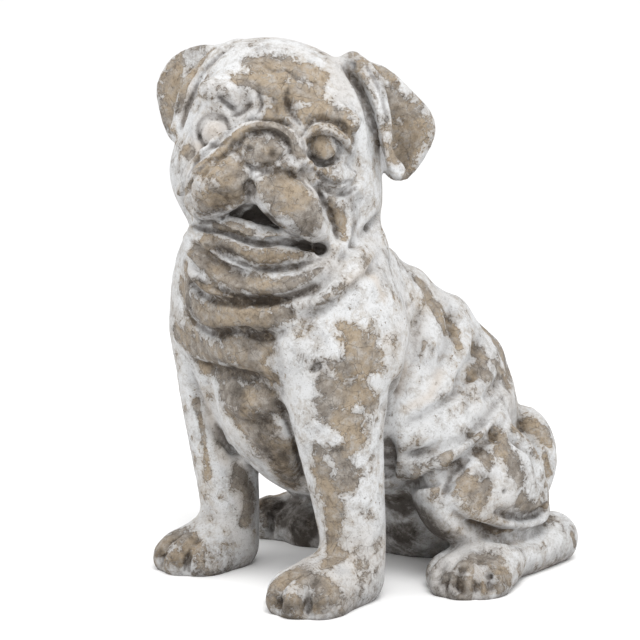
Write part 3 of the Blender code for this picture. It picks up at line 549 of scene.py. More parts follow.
BODY_CREASES = (
    ("first neck fold, left", 1.0, -1.8, ((384, 252), (372, 272), (354, 290), (330, 308), (300, 320))),
    ("first neck fold, right", 0.9, -1.4, ((186, 272), (199, 292), (222, 303), (254, 302), (280, 302))),
    ("second neck fold", 1.0, -1.6,
     ((184, 304), (194, 322), (212, 334), (240, 332), (264, 340), (290, 330))),
    ("bib", 1.4, -0.8, ((190, 358), (210, 368), (236, 374), (256, 380), (276, 396))),
    ("under the breastbone", 1.2, -0.7, ((222, 412), (240, 422), (260, 424), (282, 414))),
    ("right foreleg and chest", 1.0, -1.4, ((188, 366), (196, 392), (212, 424), (236, 454), (264, 480))),
    ("left foreleg and chest", 1.1, -2.4, ((279, 404), (286, 420), (294, 440), (300, 464), (305, 490))),
    ("left foreleg, behind", 1.2, -2.6, ((394, 380), (391, 405), (389, 440), (389, 486))),
    ("shoulder fold", 1.5, -1.6, ((418, 314), (415, 345), (406, 375), (394, 400))),
    ("upper flank fold", 0.9, -1.5, ((480, 368), (460, 392), (430, 412), (403, 425))),
    ("middle flank fold", 0.9, -2.0, ((500, 398), (486, 416), (460, 438), (426, 452), (403, 457))),
    ("lower flank fold", 1.3, -2.5, ((506, 418), (494, 434), (470, 456), (440, 476), (403, 488))),
    ("thigh and flank", 1.3, -2.0, ((464, 462), (450, 476), (442, 498))),
    ("first back fold", 1.3, -1.5, ((446, 300), (452, 322), (446, 350), (434, 374))),
    ("second back fold", 1.3, -1.6, ((480, 338), (476, 354), (466, 372), (452, 394))),
    ("third back fold", 1.3, -1.4, ((503, 378), (494, 389), (485, 400))),
    ("under the knee", 1.1, -3.4, ((450, 510), (464, 524), (486, 532), (512, 538), (536, 534), (549, 520))),
    ("knee smile", 0.8, -2.0, ((495, 511), (513, 517), (531, 517), (547, 508))),
    ("tail and thigh", 1.3, -4.4, ((512, 437), (527, 445), (537, 460), (541, 480))),
    ("left toes, first", 0.8, -1.8, ((436, 584), (438, 572), (446, 560))),
    ("left toes, second", 0.9, -2.2, ((461, 592), (458, 578), (462, 564))),
    ("left toes, slit", 0.9, -3.2, ((494, 592), (491, 580), (486, 570))),
)

FOLDS_RAISED = (
    ("left flank, upper roll", 3.6, 1.2, ((468, 346), (458, 372), (440, 394), (416, 408))),
    ("left flank, middle roll", 3.0, 1.5, ((494, 376), (474, 402), (444, 425), (404, 441))),
    ("left flank, lower roll", 3.2, 2.0, ((512, 396), (492, 424), (460, 450), (428, 466), (402, 473))),
    ("left neck roll", 2.6, 1.4, ((392, 226), (380, 250), (360, 276), (334, 294), (306, 308))),
    ("right neck roll", 2.4, 1.6, ((186, 290), (199, 310), (222, 320), (250, 318), (276, 318))),
    ("right chest roll", 2.6, 1.4, ((184, 334), (200, 350), (226, 356), (256, 362), (282, 376))),
    ("edge of the upper lip", 0.7, 0.8,
     ((206, 221), (223, 226), (240, 234), (252, 238), (266, 237), (288, 236))),
    ("lip of the knee", 1.4, 0.9, ((500, 522), (518, 527), (536, 525), (548, 514))),
    ("breastbone", 3.0, 1.4, ((228, 400), (250, 404), (270, 400))),
    ("shoulder", 3.4, 1.4, ((402, 322), (398, 348), (388, 380))),
)

# Rolls across the back, each through places near the skin on the right, the spine and the left.
BACK_ROLLS = (
    (2.6, 0.9, ((-13, -4, 60), (0, 3, 57), (13, -4, 60))),
    (2.8, 1.2, ((-15, 2, 56), (0, 10, 51), (15, 2, 56))),
    (2.8, 1.6, ((-17, 10, 48), (0, 19, 44), (17, 10, 49))),
    (3.0, 1.9, ((-18, 16, 40), (0, 28, 36.5), (18, 16, 41))),
)


# Folds that the dog's right side has too, as it does not show in the front left view.
ON_BOTH_SIDES = ("left flank, upper roll", "left flank, middle roll", "left flank, lower roll",
                 "shoulder", "upper flank fold", "middle flank fold", "lower flank fold",
                 "thigh and flank", "shoulder fold", "under the knee", "left foreleg, behind")


# Small round holes: steps on the sheet, and the radius of each.
PITS = (
    ("right nostril", (248, 149), 0.75),
    ("left nostril", (272.5, 155), 0.85),
    ("hole between the left toes", (490, 577), 0.7),
    ("hollow of the mouth", (262, 214), 2.3),
    ("hollow of the mouth, right", (250, 218), 1.5),
    ("left corner of the mouth", (320, 249), 1.1),
)


def draw_folds(clay):
    """The creases, rolls and holes, as the front left view shows them."""
    for width, height, points in BACK_ROLLS:
        clay.stroke(points, width, height)
    for name, width, height, points in (*FOLDS_RAISED, *FACE_CREASES, *BODY_CREASES):
        if name in ON_BOTH_SIDES:
            clay.stroke(clay.on_skin(points, BODY), width, MIRRORED_SHARE * height, MIRROR)
        clay.stroke(points, width, height)
    for name, place, radius in PITS:
        clay.ball(clay.seen(*place), (radius, radius, radius), blend=0.3, carve=True)


def sculpt(step):
    """The whole statue in clay, with voxels of that side in units."""
    clay = Clay(BLOCK_LOW, BLOCK_HIGH, step)
    press_torso(clay)
    press_neck(clay)
    press_tail(clay)
    for side in SIDES:
        press_hind_leg(clay, side)
        press_foreleg(clay, side)
    press_head(clay)
    press_face(clay)
    press_ears(clay)
    draw_folds(clay)
    return clay


# Where the coat has flaked off to the bare stone, as the front left view shows it: each patch is a
# run of discs, steps right and down on the sheet and a radius in steps.
BARE_PATCHES = (
    ("forehead, top", ((248, 60, 7), (262, 63, 12), (284, 67, 14), (306, 71, 12), (322, 74, 7))),
    ("forehead, middle", ((236, 79, 6), (256, 82, 12), (280, 88, 15), (300, 94, 11))),
    ("forehead, left", ((322, 74, 6), (318, 90, 6), (304, 100, 6))),
    ("between the brows", ((284, 102, 8), (272, 116, 8), (262, 120, 5))),
    ("left brow", ((303, 113, 7), (322, 109, 9), (340, 117, 9), (350, 130, 7))),
    ("left lid", ((348, 134, 5), (352, 142, 4))),
    ("nose", ((246, 150, 11), (258, 154, 14), (272, 152, 11), (268, 164, 7))),
    ("nose rope", ((186, 192, 3), (204, 166, 4), (224, 147, 5), (246, 130, 6), (268, 126, 6),
                   (288, 137, 6), (301, 156, 5))),
    ("right lobe", ((210, 170, 14), (228, 174, 15), (238, 190, 14), (222, 204, 14), (204, 200, 12),
                    (204, 212, 8))),
    ("left lobe, top", ((266, 186, 9), (282, 180, 12), (296, 190, 12), (304, 202, 9))),
    ("left lobe, middle", ((270, 198, 8), (286, 206, 9), (302, 214, 11), (312, 226, 10), (308, 234, 6))),
    ("right ear flap", ((178, 66, 8), (172, 84, 11), (170, 104, 10), (170, 124, 7))),
    ("right ear rim", ((214, 48, 3), (196, 66, 4), (184, 92, 4), (178, 112, 3))),
    ("left ear flap, top", ((388, 92, 7), (398, 106, 11), (412, 118, 12))),
    ("left ear flap, middle", ((420, 128, 12), (412, 142, 14), (404, 156, 12), (408, 168, 8))),
    ("left ear flap, inner", ((392, 118, 8), (396, 136, 8), (394, 156, 6))),
    ("left ear rim", ((376, 66, 3), (386, 74, 3), (396, 84, 4))),
    ("under the right eye", ((184, 150, 5), (196, 158, 5))),
    ("chin, right", ((202, 250, 7), (212, 266, 9), (228, 278, 9), (246, 288, 7))),
    ("chin, front", ((262, 294, 4), (282, 288, 5), (300, 280, 4))),
    ("left eyeball", ((316, 146, 9), (326, 150, 10))),
    ("lower lip", ((204, 238, 5), (224, 248, 7), (250, 257, 8), (278, 258, 6))),
    ("lower lip, left", ((296, 256, 4), (312, 252, 4))),
    ("chin, whole", ((196, 252, 8), (212, 270, 10), (236, 282, 10), (262, 286, 8), (284, 282, 5))),
    ("upper lip", ((214, 225, 3), (232, 230, 3), (252, 233, 4))),
    ("cheek hollow", ((331, 204, 6), (340, 222, 6), (344, 238, 4))),
    ("under the chin", ((200, 286, 5), (226, 298, 6), (256, 304, 6), (286, 301, 5))),
    ("first neck roll", ((182, 288, 10), (192, 304, 14), (206, 320, 13), (226, 330, 11))),
    ("throat", ((184, 268, 7), (198, 288, 9), (216, 304, 10), (240, 314, 11), (268, 316, 9))),
    ("neck, front", ((184, 292, 10), (200, 310, 14), (226, 322, 16), (256, 322, 14), (284, 312, 9))),
    ("chest roll", ((176, 332, 8), (194, 346, 12), (214, 354, 12), (240, 352, 13), (264, 344, 12))),
    ("chest", ((204, 366, 8), (228, 370, 12), (252, 366, 15), (270, 376, 11))),
    ("breastbone", ((222, 392, 7), (246, 398, 13), (266, 404, 13), (278, 412, 10))),
    ("breast, front", ((228, 386, 9), (244, 404, 16), (262, 430, 18), (280, 462, 15), (290, 486, 9))),
    ("breast, low", ((228, 412, 7), (246, 428, 11), (266, 446, 12), (284, 470, 11))),
    ("shoulder column, top", ((346, 332, 10), (358, 346, 14), (370, 362, 13), (352, 368, 13))),
    ("shoulder column, low", ((322, 384, 8), (336, 396, 12), (356, 396, 14), (372, 402, 9))),
    ("foreleg, upper", ((316, 402, 6), (330, 418, 9), (350, 426, 14), (360, 440, 12), (344, 450, 11))),
    ("foreleg, front", ((316, 448, 6), (318, 466, 8), (326, 486, 9), (334, 506, 9), (330, 526, 8))),
    ("foreleg, middle", ((342, 462, 6), (352, 474, 9), (344, 490, 9))),
    ("foreleg, low", ((338, 516, 6), (330, 540, 8), (336, 556, 7), (322, 566, 6))),
    ("left paw, top", ((276, 584, 10), (292, 576, 13), (314, 580, 12), (332, 592, 9))),
    ("left paw, toes", ((270, 600, 7), (290, 604, 7), (318, 606, 6))),
    ("right foreleg, inside", ((236, 466, 6), (246, 486, 8), (250, 508, 8), (244, 524, 6))),
    ("right foreleg, outside", ((196, 400, 3), (204, 440, 3), (208, 476, 4))),
    ("right paw", ((162, 546, 10), (176, 538, 12), (192, 546, 9), (182, 556, 8))),
    ("shoulder blade", ((417, 280, 6), (427, 292, 8), (436, 310, 8), (444, 330, 5))),
    ("back, upper", ((442, 306, 4), (452, 328, 5), (458, 346, 4))),
    ("back, middle", ((472, 346, 7), (484, 360, 7), (472, 374, 7), (490, 374, 6))),
    ("back, lower", ((498, 366, 5), (510, 384, 6), (518, 398, 6))),
    ("flank scuff", ((424, 344, 3), (420, 356, 3))),
    ("tail, top", ((514, 428, 6), (526, 424, 7), (540, 428, 7), (549, 444, 5))),
    ("tail, side", ((546, 456, 4), (549, 474, 4), (545, 486, 3))),
    ("thigh, front", ((464, 476, 8), (470, 490, 9), (480, 500, 7), (486, 484, 6))),
    ("thigh, top", ((496, 434, 8), (504, 452, 11), (514, 466, 11), (520, 478, 7))),
    ("thigh, middle", ((480, 452, 6), (488, 462, 6))),
    ("knee", ((520, 502, 8), (532, 510, 7), (545, 506, 4))),
    ("under the knee", ((474, 520, 4), (492, 530, 4), (512, 530, 3))),
    ("hind paw, top", ((464, 566, 8), (482, 558, 11), (500, 566, 11), (508, 578, 7))),
    ("hind paw, toes", ((446, 578, 6), (470, 586, 7), (502, 588, 4))),
    ("heel", ((572, 534, 3), (575, 546, 3))),
)

# The same on the sides that the front left view hides: places near the skin and a radius, in units.
BARE_BEHIND = (
    ("back of the head", ((-8, 0, 92, 3), (-2, 0, 88, 4), (6, 0, 84, 3))),
    ("nape", ((-6, 2, 74, 3), (2, 3, 70, 4), (9, 1, 72, 2.5))),
    ("right cheek", ((-20, -12, 74, 2.5), (-19, -8, 70, 3))),
    ("spine", ((0, 9, 58, 2), (1, 18, 51, 3), (-1, 26, 44, 3.6), (0, 32, 36, 2.5))),
    ("right shoulder", ((-27, -16, 50, 3), (-28, -18, 44, 4), (-27, -18, 37, 3))),
    ("right foreleg, behind", ((-24, -14, 26, 2), (-22, -13, 18, 2.4), (-21, -14, 11, 2))),
    ("right flank, top", ((-18, 0, 50, 2.5), (-20, 5, 44, 3.6), (-20, 10, 38, 3))),
    ("right flank, low", ((-22, -2, 30, 2), (-22, 4, 27, 3), (-21, 11, 30, 2))),
    ("right thigh, front", ((-29, 6, 20, 3), (-31, 10, 15, 3.6), (-30, 16, 12, 2.6))),
    ("right thigh, back", ((-26, 22, 20, 3), (-24, 26, 14, 2.6))),
    ("right hind paw", ((-27, -2, 7, 2.6), (-30, -1, 5, 2.6), (-31, 8, 7, 2))),
    ("right heel", ((-25, 28, 8, 2.5), (-23, 33, 6, 2.6))),
    ("rump, right", ((-12, 32, 26, 3), (-8, 34, 18, 3.6), (-10, 33, 10, 2.5))),
    ("rump, left", ((6, 35, 14, 2.4), (10, 33, 8, 2.6))),
    ("back, left of the spine", ((10, 22, 42, 2), (13, 25, 36, 2.6))),
    ("left thigh, behind", ((24, 24, 16, 2.4), (24, 26, 10, 2.4))),
)

# Where smoke and earth have left dark stains on the surface, with painted shade among them under the
# chin, on the throat and on the inner sides of the legs: as for the bare patches.
DARK_STAINS_AND_SHADE = (
    ("breast", ((236, 392, 12), (260, 420, 14), (280, 452, 14), (290, 484, 12))),
    ("right foreleg, inside", ((248, 476, 8), (254, 500, 9), (252, 526, 7))),
    ("breast, low", ((262, 440, 14), (280, 462, 14), (292, 486, 12))),
    ("throat", ((186, 300, 10), (216, 334, 12), (250, 340, 12), (272, 330, 10))),
    ("left chest", ((274, 350, 14), (280, 376, 14), (276, 400, 12))),
    ("left neck", ((330, 300, 9), (350, 280, 11), (366, 256, 11))),
    ("under the chin", ((196, 280, 8), (232, 298, 9), (280, 300, 9), (318, 288, 8))),
    ("right lobe", ((208, 182, 8), (230, 196, 8), (218, 210, 9))),
    ("forehead", ((276, 96, 10), (292, 106, 10))),
    ("left cheek", ((352, 196, 8), (356, 222, 9), (350, 244, 8))),
    ("left ear", ((400, 118, 14), (410, 140, 16), (402, 162, 12))),
    ("lower lip", ((214, 244, 8), (246, 256, 9), (280, 258, 9), (310, 252, 7))),
    ("shoulder column", ((346, 372, 10), (356, 386, 8))),
    ("thigh, top", ((492, 434, 8), (482, 452, 10))),
    ("thigh, bruise", ((478, 472, 7), (486, 476, 7))),
    ("left paw, toes", ((268, 598, 8), (290, 608, 8), (330, 606, 8))),
    ("right paw, toes", ((156, 552, 6), (176, 562, 8))),
    ("hind paw, toes", ((442, 582, 6), (462, 590, 6), (494, 586, 6))),
    ("hind paw, inside", ((440, 566, 6), (452, 552, 8))),
)

# Painted shadow, very dark, under the belly and in the hollow and corner of the mouth.
PAINTED_SHADOWS = (
    ("right hind paw", ((270, 500, 18), (284, 515, 22), (300, 525, 20))),
    ("belly, middle", ((272, 504, 24), (290, 512, 26), (310, 520, 26), (300, 540, 20))),
    ("belly", ((400, 505, 26), (424, 520, 28), (440, 535, 18), (400, 535, 22))),
    ("mouth", ((244, 218, 8), (258, 212, 12), (270, 218, 10), (280, 226, 5))),
    ("corner of the mouth", ((316, 248, 3), (324, 249, 3.4))),
)

# Warm, clean, sandy colour under thin wash.
WARM_STAINS = (
    ("right temple", ((198, 70, 6), (188, 96, 8), (184, 120, 6))),
    ("right eye", ((186, 152, 10), (200, 148, 10))),
    ("right eyeball", ((212, 131, 22), (216, 132, 20))),
    ("left neck fold", ((348, 284, 8), (368, 266, 8), (384, 300, 6))),
    ("left shoulder", ((386, 340, 8), (404, 366, 8), (398, 392, 8))),
    ("upper flank", ((440, 372, 8), (430, 396, 8), (404, 410, 6))),
    ("right forearm", ((206, 400, 10), (214, 430, 10), (226, 460, 10))),
    ("left ear, inside", ((404, 130, 14), (408, 156, 12))),
    ("chin", ((216, 262, 12), (240, 282, 10))),
    ("breast", ((236, 404, 16), (262, 434, 20), (284, 474, 18))),
    ("right foreleg, inside", ((236, 466, 14), (246, 510, 14))),
    ("left eyeball", ((320, 147, 14), (324, 149, 13))),
    ("thigh, front", ((470, 492, 10), (462, 478, 8))),
    ("tail", ((526, 424, 8), (544, 440, 8))),
)

# Where rain keeps the coat clean, with less stain and painted shade: as for the bare patches.
CLEAN_PLACES = (
    ("flank", ((410, 340, 24), (426, 372, 26), (432, 404, 26), (416, 440, 22), (450, 440, 20))),
    ("left neck", ((336, 292, 9), (362, 262, 11), (384, 244, 11), (396, 290, 14))),
    ("left foreleg", ((384, 400, 12), (378, 460, 14), (374, 530, 14), (360, 580, 12))),
    ("skull", ((330, 62, 16), (350, 100, 20), (366, 140, 14), (360, 180, 14))),
    ("right brow", ((206, 74, 16), (206, 106, 14), (238, 100, 10))),
    ("right eye", ((208, 130, 14), (218, 131, 14))),
    ("right foreleg", ((206, 430, 12), (214, 480, 16), (220, 520, 16))),
    ("upper lip", ((206, 222, 6), (240, 232, 7), (290, 240, 6))),
    ("hind leg", ((452, 500, 10), (520, 552, 14), (556, 540, 12))),
    ("left eye", ((318, 148, 14), (328, 150, 14))),
    ("nose", ((248, 152, 12), (266, 156, 13))),
    ("chin", ((206, 262, 8), (236, 280, 9), (280, 280, 9), (310, 268, 8))),
)

# Where the coat is sound, with few flakes gone: as for the bare patches.
SOUND_COAT = (
    ("flank", ((412, 346, 20), (426, 372, 24), (430, 404, 24), (418, 440, 22), (446, 440, 16))),
    ("right foreleg", ((206, 430, 8), (214, 480, 12), (222, 524, 12))),
    ("right eye", ((206, 120, 10), (213, 131, 16))),
    ("skull", ((334, 62, 10), (352, 100, 12), (360, 140, 8))),
)

# Round casting pits and chips: steps on the sheet and a radius in units.
CHIPS = (
    ("beside the left brow", (353, 120), 0.8),
    ("left cheek, low", (365, 228), 0.7),
    ("left shoulder", (407, 306), 0.8),
    ("chest, under the neck", (268, 334), 0.9),
    ("shoulder column, left", (317, 367), 0.85),
    ("shoulder column, left, lower", (313, 370), 0.7),
    ("breast, left", (258, 390), 0.4),
    ("breast, right", (230, 396), 0.45),
    ("foreleg, back edge, upper", (382, 408), 0.7),
    ("foreleg, back edge, lower", (378, 424), 0.6),
    ("flank", (434, 352), 0.6),
    ("notch behind the left foreleg", (388, 536), 0.9),
    ("thigh", (505, 492), 0.6),
    ("knee", (514, 508), 0.5),
    ("forehead, left", (310, 60), 0.6),
    ("corner of the left ear", (352, 66), 0.8),
)

# Fine lines scored in the clay, darkened by dirt and painted shade: a width and a depth in units, and
# steps on the sheet.
SCORED_LINES = (
    ("mouth", 0.45, 0.9,
     ((193, 226), (206, 230), (224, 232), (246, 241), (264, 244), (284, 242), (306, 246), (318, 249))),
    ("right lobe, lower edge", 0.4, 0.5, ((194, 214), (204, 222), (218, 221), (234, 213), (246, 203))),
    ("left lobe, lower edge", 0.4, 0.5, ((256, 204), (266, 217), (282, 229), (300, 238), (316, 244))),
    ("between the lobes", 0.4, 0.6, ((252, 170), (249, 184), (248, 200))),
    ("right lobe, upper edge", 0.35, 0.5, ((236, 150), (222, 156), (207, 163), (195, 176), (190, 192))),
    ("left lobe, upper edge", 0.35, 0.5, ((256, 178), (268, 172), (284, 172), (298, 178), (312, 192))),
    ("nose, upper edge", 0.35, 0.6,
     ((237, 150), (242, 139), (256, 132), (274, 132), (286, 141), (291, 154))),
    ("nose, lower edge", 0.35, 0.5, ((238, 154), (248, 165), (260, 171), (276, 169), (288, 160))),
    ("over the nose rope", 0.45, 0.5,
     ((188, 176), (198, 160), (214, 144), (232, 130), (250, 121), (270, 120))),
    ("over the nose rope, left", 0.45, 0.5, ((270, 120), (288, 125), (300, 138), (306, 156))),
    ("right brow", 0.4, 0.7, ((218, 96), (226, 104), (236, 110))),
    ("right brow, inner", 0.35, 0.5, ((232, 116), (244, 112), (252, 102))),
    ("forehead, first", 0.35, 0.4, ((258, 92), (262, 104), (258, 114))),
    ("forehead, second", 0.35, 0.4, ((288, 88), (286, 100), (292, 114), (300, 124))),
    ("forehead, crack", 0.3, 0.35, ((262, 62), (272, 70), (286, 70), (300, 80), (314, 82))),
    ("left lid", 0.35, 0.5, ((302, 136), (310, 124), (324, 120), (340, 126), (350, 138))),
    ("left eye, outer corner", 0.35, 0.5, ((336, 158), (346, 164), (356, 172))),
    ("bag of the left eye", 0.35, 0.6, ((312, 168), (322, 178), (336, 184), (350, 180))),
    ("bag of the left eye, below", 0.4, 0.6, ((318, 182), (330, 193), (344, 195), (356, 188))),
    ("left cheek", 0.5, 0.9, ((318, 192), (326, 206), (333, 222), (337, 238))),
    ("under the lower lip", 0.4, 0.6, ((206, 246), (230, 258), (258, 269), (290, 268), (320, 259))),
    ("chin crack", 0.3, 0.4, ((204, 244), (216, 254), (236, 262), (252, 266))),
    ("under the chin", 0.35, 0.7, ((184, 262), (200, 280), (226, 292), (256, 299), (292, 297), (320, 284))),
    ("first neck fold", 0.5, 0.6, ((190, 282), (204, 296), (226, 304), (256, 303), (282, 302))),
    ("second neck fold", 0.5, 0.5, ((186, 308), (196, 324), (214, 334), (240, 332), (262, 340))),
    ("left ear and skull", 0.5, 0.8, ((348, 72), (362, 94), (372, 120), (379, 150), (384, 176))),
    ("left ear, rim", 0.4, 0.4, ((366, 66), (380, 92), (387, 120), (394, 148), (401, 170))),
    ("right ear and skull", 0.4, 0.6, ((224, 52), (204, 72), (194, 92), (186, 110), (181, 128))),
    ("left paw, first slit", 0.35, 0.5, ((280, 612), (281, 600), (286, 590))),
    ("left paw, second slit", 0.35, 0.5, ((308, 614), (308, 602), (308, 590))),
    ("right paw, first slit", 0.35, 0.5, ((161, 566), (164, 556), (172, 548))),
    ("right paw, second slit", 0.35, 0.5, ((184, 570), (186, 560), (190, 550))),
    ("hind paw, slit", 0.35, 0.5, ((460, 592), (458, 580), (462, 568))),
    ("knee", 0.45, 0.7, ((494, 512), (512, 518), (530, 518), (546, 509))),
    ("thigh and flank", 0.5, 0.7, ((462, 466), (450, 478), (443, 496))),
    ("left foreleg and chest", 0.45, 0.7, ((281, 410), (288, 426), (296, 448), (302, 474))),
)

# Rings scored round the eyeballs: steps on the sheet, a radius in steps, a width and a depth in
# units, and how much of the dirt and painted shade of another line darkens them.
EYE_RINGS = (
    ("right eye", (213.4, 130.5), 16.0, 0.42, 0.6, 1.0),
    ("left eye", (322, 148), 15.4, 0.35, 0.35, 0.5),
)
RING_POINTS = 12

# Creases of the body darkened with painted shade, and how much of a scored line's darkening they get.
SHADED_CREASES = ("upper flank fold", "middle flank fold", "lower flank fold", "thigh and flank",
                 "first back fold", "second back fold", "third back fold", "shoulder fold")
CREASE_SHARE = 0.45
LINE_DARKENING_WIDTH = 1.5  # of a scored line's width, how far its dirt and painted shade reach
# Painted shade in the nostrils: discs as for the patches.
NOSTRILS = (("right nostril", ((248, 149, 4.4), (249, 149.5, 3.6))),
            ("left nostril", ((272.5, 155, 4.8), (272, 157, 3.6))))

# Where the coat of hair is carved as locks: discs as for the patches.
LOCKS = (
    ("throat", ((192, 306, 12), (210, 326, 14), (238, 332, 14), (262, 328, 12))),
    ("chest", ((214, 364, 12), (244, 366, 14), (264, 378, 12))),
    ("breast", ((232, 398, 14), (254, 412, 16), (272, 436, 12))),
    ("foreleg", ((334, 440, 10), (346, 472, 12), (344, 510, 10))),
)
LOCK_LENGTH = 1.9  # units
LOCK_HEIGHT = 0.2
LOCK_SLANT = 0.5  # how far they run down to the dog's left, for each unit across
LOCK_WANDER = (2.2, 3.2)  # units that they stray, and the size of the lumps that steer them
LOCK_TWIST = (2, 1.4)
LOCK_MIDDLE = 0.6  # where a lock is neither raised nor sunk

SEED = 11  # of the random lumps and pits
COARSE_CRUMBLE = (0.5, 3.4)  # a share of wear and a size in units: how ragged a patch's edge is
FINE_CRUMBLE = (0.42, 1.5)
CLOUD_SHIFT = 40  # units, between the lumps of the two
SOUND_SHARE = 0.3  # how much wear a sound coat is spared
EDGE_SHARPNESS = 3.2  # how steeply the coat ends at a patch's edge
COAT_STEP = 0.2  # units, how far bare stone lies under the coat
STONE_GRAIN = ((0.16, 1.3), (0.12, 2.6))  # a height and a size in units
COAT_GRAIN = (0.06, 1.6)
LUMP_HEIGHT = 0.5  # units, of the lumps on the lobes
LUMP_SIZE = 2.3
LUMP_MIDDLE = 0.35  # where a lump is neither raised nor sunk
LUMPS_END = 1.4  # of a lobe's radius
CREASE_FLAT, CREASE_GAIN = 0.53, 5  # share of clay round a point that counts as flat, and the growth
HOLLOW_FLAT, HOLLOW_GAIN = 0.54, 4  # of crease or hollow over it
STAIN_GAIN, SHADOW_GAIN, CLEAN_GAIN = 0.8, 1.8, 1.5  # how fast each grows from its edge
STAIN_MOST = 0.5
CLEAN_SHARE = 0.6  # of the stains and painted shade that a clean place is spared
PITS_SCATTERED = 150
PIT_RADII = (0.3, 0.7)  # units
PIT_DEPTH = 0.5  # share of a pit's radius
MUZZLE = ((263, 178), 17.0)  # its middle on the sheet, and the units round it without such pits
LOBE_LUMPS = (("right lobe", (218, 190), 5.8), ("left lobe", (292, 204), 6.8))
STEPS_A_UNIT = 5.4  # steps on the sheet for one unit at the statue


class Cloud:
    """Soft random values from -1 to 1, the same each time for the same seed."""

    SIDE = 32

    def __init__(self, seed):
        self.lattice = np.random.default_rng(seed).uniform(-1, 1, (self.SIDE,) * 3).astype(np.float32)

    def at(self, points, size):
        """The value at each point, with lumps about as wide as size."""
        place = np.asarray(points) / size
        cell = np.floor(place).astype(int)
        part = place - cell
        part = part * part * (3 - 2 * part)
        total = np.zeros(len(place))
        for corner in np.ndindex(2, 2, 2):
            share = np.prod(np.where(corner, part, 1 - part), axis=1)
            total += share * self.lattice[tuple(((cell + corner) % self.SIDE).T)]
        return total


def patch_path(clay, discs, hidden):
    """A patch as places on the skin and radii in units."""
    if hidden:
        places = clay.on_skin([d[:3] for d in discs], BODY)
        return [(*p, d[3]) for p, d in zip(places, discs)]
    return [(*clay.seen(*d[:2]), d[2] / STEPS_A_UNIT) for d in discs]


def patch_strength(points, path, room=1.6):
    """1 in the middle of a patch, 0 at its edge, and down to 1 - room outside it."""
    strength = np.full(len(points), 1 - room)
    path = np.array(path)
    reach = room * path[:, 3].max()
    low, high = path[:, :3].min(0) - reach, path[:, :3].max(0) + reach
    near = np.flatnonzero(((points > low) & (points < high)).all(axis=1))
    spans = list(zip(path, path[1:])) or [(path[0], path[0])]
    for a, b in spans:
        p = points[near].astype(np.float32)
        away, along = distance_to_span(p[:, 0], p[:, 1], p[:, 2], a[:3], b[:3])
        radius = a[3] + along * (b[3] - a[3])
        strength[near] = np.maximum(strength[near], 1 - away / radius)
    return strength


def strongest(clay, points, patches, hidden=False, start=-0.6):
    """The strongest patch at each point."""
    best = np.full(len(points), start)
    for _, discs in patches:
        np.maximum(best, patch_strength(points, patch_path(clay, discs, hidden)), out=best)
    return best


def blur(block, reach):
    """The block averaged over about reach voxels each way, three times along each axis."""
    width = 2 * reach + 1
    for axis in range(3):
        for _ in range(3):
            padded = np.concatenate([np.zeros_like(block.take([0], axis)), np.cumsum(
                np.pad(block, [(reach, reach) if i == axis else (0, 0) for i in range(3)], "edge"),
                axis=axis, dtype=np.float64)], axis=axis)
            last = padded.take(range(width, padded.shape[axis]), axis)
            block = (last - padded.take(range(padded.shape[axis] - width), axis)) / width
    return block


class Hollows:
    """How deep in a hollow each place of the clay's skin lies."""

    def __init__(self, clay, thin, reach):
        every = (slice(None, None, thin),) * 3
        self.step = clay.step * thin
        self.low = clay.low
        solid = np.clip(0.5 - clay.field[every] / (2 * self.step), 0, 1)
        self.share = blur(solid, reach)

    def at(self, points):
        """Half is a flat place, more is a hollow and less is a ridge."""
        return between_cells(self.share, (points - self.low) / self.step)


